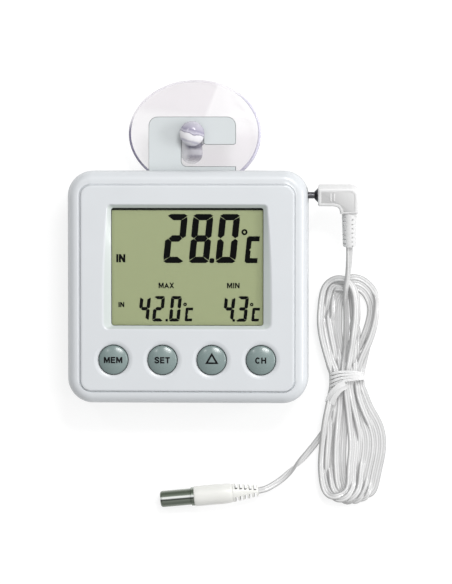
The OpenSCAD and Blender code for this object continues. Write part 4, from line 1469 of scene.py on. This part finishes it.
def slotted_relief(name, length, d0, d1, slots, slot_w, depth, place, material, shade, node,
                   front=0.0):
    """A tapering relief along +Z with slots sawn into it from two sides, and a collar at its root.
    With front, shorter notches of that width sit between them on the other two sides."""

    def radius_at(z):
        return d0 / 2 + (d1 - d0) / 2 * z / length

    profile = [(0, 0), (d0 / 2, 0), (d0 / 2, 0.04 * length)]
    profile += [(radius_at(length * s), length * s) for s in (0.2, 0.4, 0.6, 0.8, 0.96)]
    profile += [(d1 / 2 - 0.15 * MM, length), (0, length)]
    verts, faces = lathe(profile, place, 40)
    piece = add_mesh(name, verts, faces, material, "probe_lead", (node,))
    cutters = []
    pitch = length * 0.92 / slots
    for i in range(slots):
        z = 0.05 * length + pitch * (i + 0.5)
        r = radius_at(z)
        for side in (-1, 1):
            lo = (-5 * MM, r - depth if side > 0 else -6 * MM, z - slot_w / 2)
            hi = (5 * MM, 6 * MM if side > 0 else -r + depth, z + slot_w / 2)
            boxes = [(lo, hi)]
            if front:
                up = z + pitch / 2
                boxes.append((
                    (r - 0.55 * MM if side > 0 else -6 * MM, -front / 2, up - slot_w / 2),
                    (6 * MM if side > 0 else -r + 0.55 * MM, front / 2, up + slot_w / 2),
                ))
            for low, high in boxes:
                vs, fs = box_mesh(low, high)
                cutters.append(cutter([place @ Vector(v) for v in vs], fs))
    cut(piece, cutters)
    smooth(piece.data, 32)
    # The slots' inner faces take shade: painted shade where it is dark, painted light where it is pale
    piece.data.materials.append(shade)
    to_axis = place.inverted()
    for face in piece.data.polygons:
        local = to_axis @ face.center
        inside = math.hypot(local.x, local.y) < radius_at(local.z) - 0.3 * MM
        if inside and 0.03 * length < local.z < 0.98 * length:
            face.material_index = 1
    return piece


def plug():
    """The plug's body, its panel and the relief at its leg."""
    plug_body()
    plug_panel()
    root = PLUG_PLACE @ Matrix.Translation((LEG_X, LEG_END, 0)) @ Matrix.Rotation(math.pi / 2, 4, "X")
    slotted_relief("plug_strain_relief", 13.2 * MM, 5.7 * MM, 5.0 * MM, 7, 0.5 * MM, 0.7 * MM,
                   root @ Matrix.Rotation(math.radians(90 - 24), 4, "Z"), RELIEF, SLOT_LIGHT,
                   "plug_relief", 0.9 * MM)


plug()


# ------------------------------------------------------------------ tie

TIE_TURNS = 4.0
TIE_POINTS = 150
# Half sizes of the tie's strip and of its loop, and the height of the loop's middle, in mm
TIE_WIDE = 0.475
TIE_THICK = 0.25
TIE_REACH = 6.55
TIE_RISE = 3.38
TIE_MIDDLE = 3.72


def squared(value):
    """A sine or cosine made to linger at its ends, for a loop between a round one and a square one."""
    return math.copysign(abs(value) ** 0.75, value)


def make_tie():
    """A flat plastic-covered wire wound round the hank's waist, with its end lying out to the left."""
    points, ups = [], []
    for i in range(TIE_POINTS + 1):
        turn = TIE_TURNS * i / TIE_POINTS
        a = 2 * math.pi * turn + 0.2
        c, q = math.cos(a), math.sin(a)
        x = WAIST[0] + TIE_REACH * squared(c)
        z = TIE_MIDDLE + TIE_RISE * squared(q)
        fan = 0.5 - 0.5 * c
        y = WAIST[1] + 2.3 - (turn - 0.4) * (0.62 + 0.95 * fan) + 0.9 * (1 - c * c) * max(q, 0)
        points.append((x * MM, y * MM, max(z, 0.32) * MM))
        ups.append((c, 0, q))
    path = np.array(points)
    t = tangents(path)
    side = np.cross(t, np.array(ups, float))
    side /= np.linalg.norm(side, axis=1)[:, None]
    out = np.cross(side, t)
    w, h = TIE_WIDE * MM, TIE_THICK * MM
    section = [(-w, 0), (-0.86 * w, -h * 0.7), (0, -h * 0.5), (0.86 * w, -h * 0.7), (w, 0),
               (0.86 * w, h * 0.6), (0.3 * w, h * 0.45), (0, h), (-0.3 * w, h * 0.45), (-0.86 * w, h * 0.6)]
    rings = [[p + u * a + v * b for a, b in section] for p, u, v in zip(path, side, out)]
    verts, faces = loft(rings)
    add_mesh("twist_tie", verts, faces, TIE, "probe_lead", ("cord_tie",), 40)
    tail = curve_through([(0.0590, -0.0373, 0.0072), (0.0568, -0.0384, 0.0074), (0.0550, -0.0402, 0.0068),
                          (0.0536, -0.0424, 0.0058), (0.0528, -0.0446, 0.0048)], 0.6 * MM)
    w, h = 1.9 * MM, 0.25 * MM
    section = [(-w, 0), (-0.9 * w, -h), (0.9 * w, -h), (w, 0), (0.9 * w, h),
               (0.15 * w, h * 0.7), (0, h * 1.5), (-0.15 * w, h * 0.7), (-0.9 * w, h)]
    verts, faces = swept(tail, section, np.linspace(0.5, -0.1, len(tail)))
    return add_mesh("twist_tie_end", verts, faces, TIE, "probe_lead", (), 40)


make_tie()


# ------------------------------------------------------------------ probe

PROBE_PLACE = (
    Matrix.Translation((25.8 * MM, -78 * MM, 3.85 * MM))
    @ Matrix.Rotation(math.radians(185.4), 4, "Z")
    @ Matrix.Rotation(math.pi / 2, 4, "Y")
)


def probe():
    """The probe: relief, sleeve, ferrule and steel cap, along its own axis."""
    slotted = PROBE_PLACE @ Matrix.Translation((0, 0, 9.6 * MM)) @ Matrix.Rotation(math.pi, 4, "X")
    slotted_relief("probe_strain_relief", 9.6 * MM, 7.0 * MM, 4.2 * MM, 5, 1.0 * MM, 1.75 * MM,
                   slotted, SLEEVE, SLOT, "probe_relief")
    sleeve = [(0, 9.3), (3.1, 9.3), (3.35, 9.5), (3.6, 10.3), (3.8, 12.0), (3.85, 14.5), (3.85, 18),
              (3.82, 22), (3.78, 23.9), (3.7, 24.3), (3.5, 24.5), (3.12, 24.5), (3.12, 19), (0, 19)]
    turned("probe_grip", sleeve, PROBE_PLACE, 64, SLEEVE, "probe_lead", ("probe_sleeve",))
    ring = [(0, 23.0), (3.5, 23.0), (3.55, 25.3), (3.45, 25.6), (3.12, 25.75), (0, 25.75)]
    turned("probe_ferrule", ring, PROBE_PLACE, 64, STEEL, "probe_lead")
    cap = [(0, 19.2), (3.1, 19.2), (3.1, 36.4)] + arc(2.2, 36.5, 0.9, 5, 80, 6) + [(1.6, 37.4), (0, 37.42)]
    turned("probe_tip_cap", cap, PROBE_PLACE, 64, STEEL, "probe_lead", ("probe_cap",))


probe()

[tuple(p) for p in cord_line]


# ------------------------------------------------------------------ finish of the CAD nodes

NODE_FINISH = {
    "window_lens": LENS, "lcd_panel": LCD, "lcd_holder": FRAME, "zebra_strip": RUBBER,
    "circuit_board": BOARD, "chip_blob": RESIN, "quartz_crystal": NICKEL, "board_components": RESIN,
    "air_sensor": RESIN, "key_switches": RESIN, "jack_socket": RUBBER, "board_screws": SCREW,
    "case_screws": SCREW, "battery": WRAP, "positive_contact": NICKEL, "negative_contact": NICKEL,
    "negative_spring": NICKEL, "battery_wires": WIRE, "plug_collar": COLLAR, "plug_sleeve": PIN,
    "plug_insulator": RUBBER, "plug_tip": PIN, "probe_bead": RESIN,
}
for node, finish in NODE_FINISH.items():
    mesh = frame["nodes"][node].data
    mesh.materials.clear()
    mesh.materials.append(finish)


# ------------------------------------------------------------------ floor and light

FLOOR_HALF = 3
FLOOR_GLOW = 0.74


def make_floor():
    """A wide white surface just under the object."""
    verts = [(x * FLOOR_HALF, y * FLOOR_HALF, 0) for x, y in ((-1, -1), (1, -1), (1, 1), (-1, 1))]
    mesh = bpy.data.meshes.new("floor")
    mesh.from_pydata(verts, [], [(0, 1, 2, 3)])
    floor = bpy.data.objects.new("floor", mesh)
    floor.location.z = -0.05 * MM
    collection.objects.link(floor)
    material, _, shader = node_tree("floor_white")
    shader.inputs["Base Color"].default_value = (0.30, 0.30, 0.30, 1)
    shader.inputs["Roughness"].default_value = 0.9
    shader.inputs["Specular IOR Level"].default_value = 0.1
    shader.inputs["Emission Color"].default_value = (1, 1, 1, 1)
    shader.inputs["Emission Strength"].default_value = FLOOR_GLOW
    mesh.materials.append(material)


def add_light(name, place, aim, size, power):
    """A rectangular lamp at a place, aimed at a point."""
    data = bpy.data.lights.new(name, "AREA")
    data.shape = "RECTANGLE"
    data.size, data.size_y = size
    data.energy = power
    light = bpy.data.objects.new(name, data)
    collection.objects.link(light)
    light.location = place
    light.rotation_mode = "QUATERNION"
    light.rotation_quaternion = (Vector(aim) - Vector(place)).to_track_quat("-Z", "Y")


def make_world(levels, right):
    """Light from all round, by the height it comes from: levels are (height, strength).
    right is how much stronger it is from the right than from the middle."""
    world = bpy.data.worlds.new("studio")
    scene.world = world
    world.use_nodes = True
    tree = world.node_tree
    coords = tree.nodes.new("ShaderNodeTexCoord")
    parts = tree.nodes.new("ShaderNodeSeparateXYZ")
    tree.links.new(coords.outputs["Generated"], parts.inputs["Vector"])
    colour = ramp(tree, parts.outputs["Z"], [(height, (level,) * 3) for height, level in levels])
    tree.links.new(colour, tree.nodes["Background"].inputs["Color"])
    lean = maths(tree, "ADD", 1.0, maths(tree, "MULTIPLY", parts.outputs["X"], right))
    tree.links.new(lean, tree.nodes["Background"].inputs["Strength"])


make_floor()
add_light("key", (0.27, 0.54, 0.86), (0.01, 0, 0), (0.4, 0.17), 5.6)
add_light("fill", (-0.41, 0.44, 0.80), (0.01, 0, 0), (0.10, 0.05), 0.5)
add_light("side", (1.04, 0.05, 0.60), (0.02, 0, 0), (0.6, 0.22), 5.4)
make_world(((0.0, 0.42), (0.12, 0.30), (0.5, 0.36), (0.75, 0.72), (1.0, 0.92)), 0.6)
scene.view_settings.view_transform = "Standard"
scene.view_settings.look = "None"
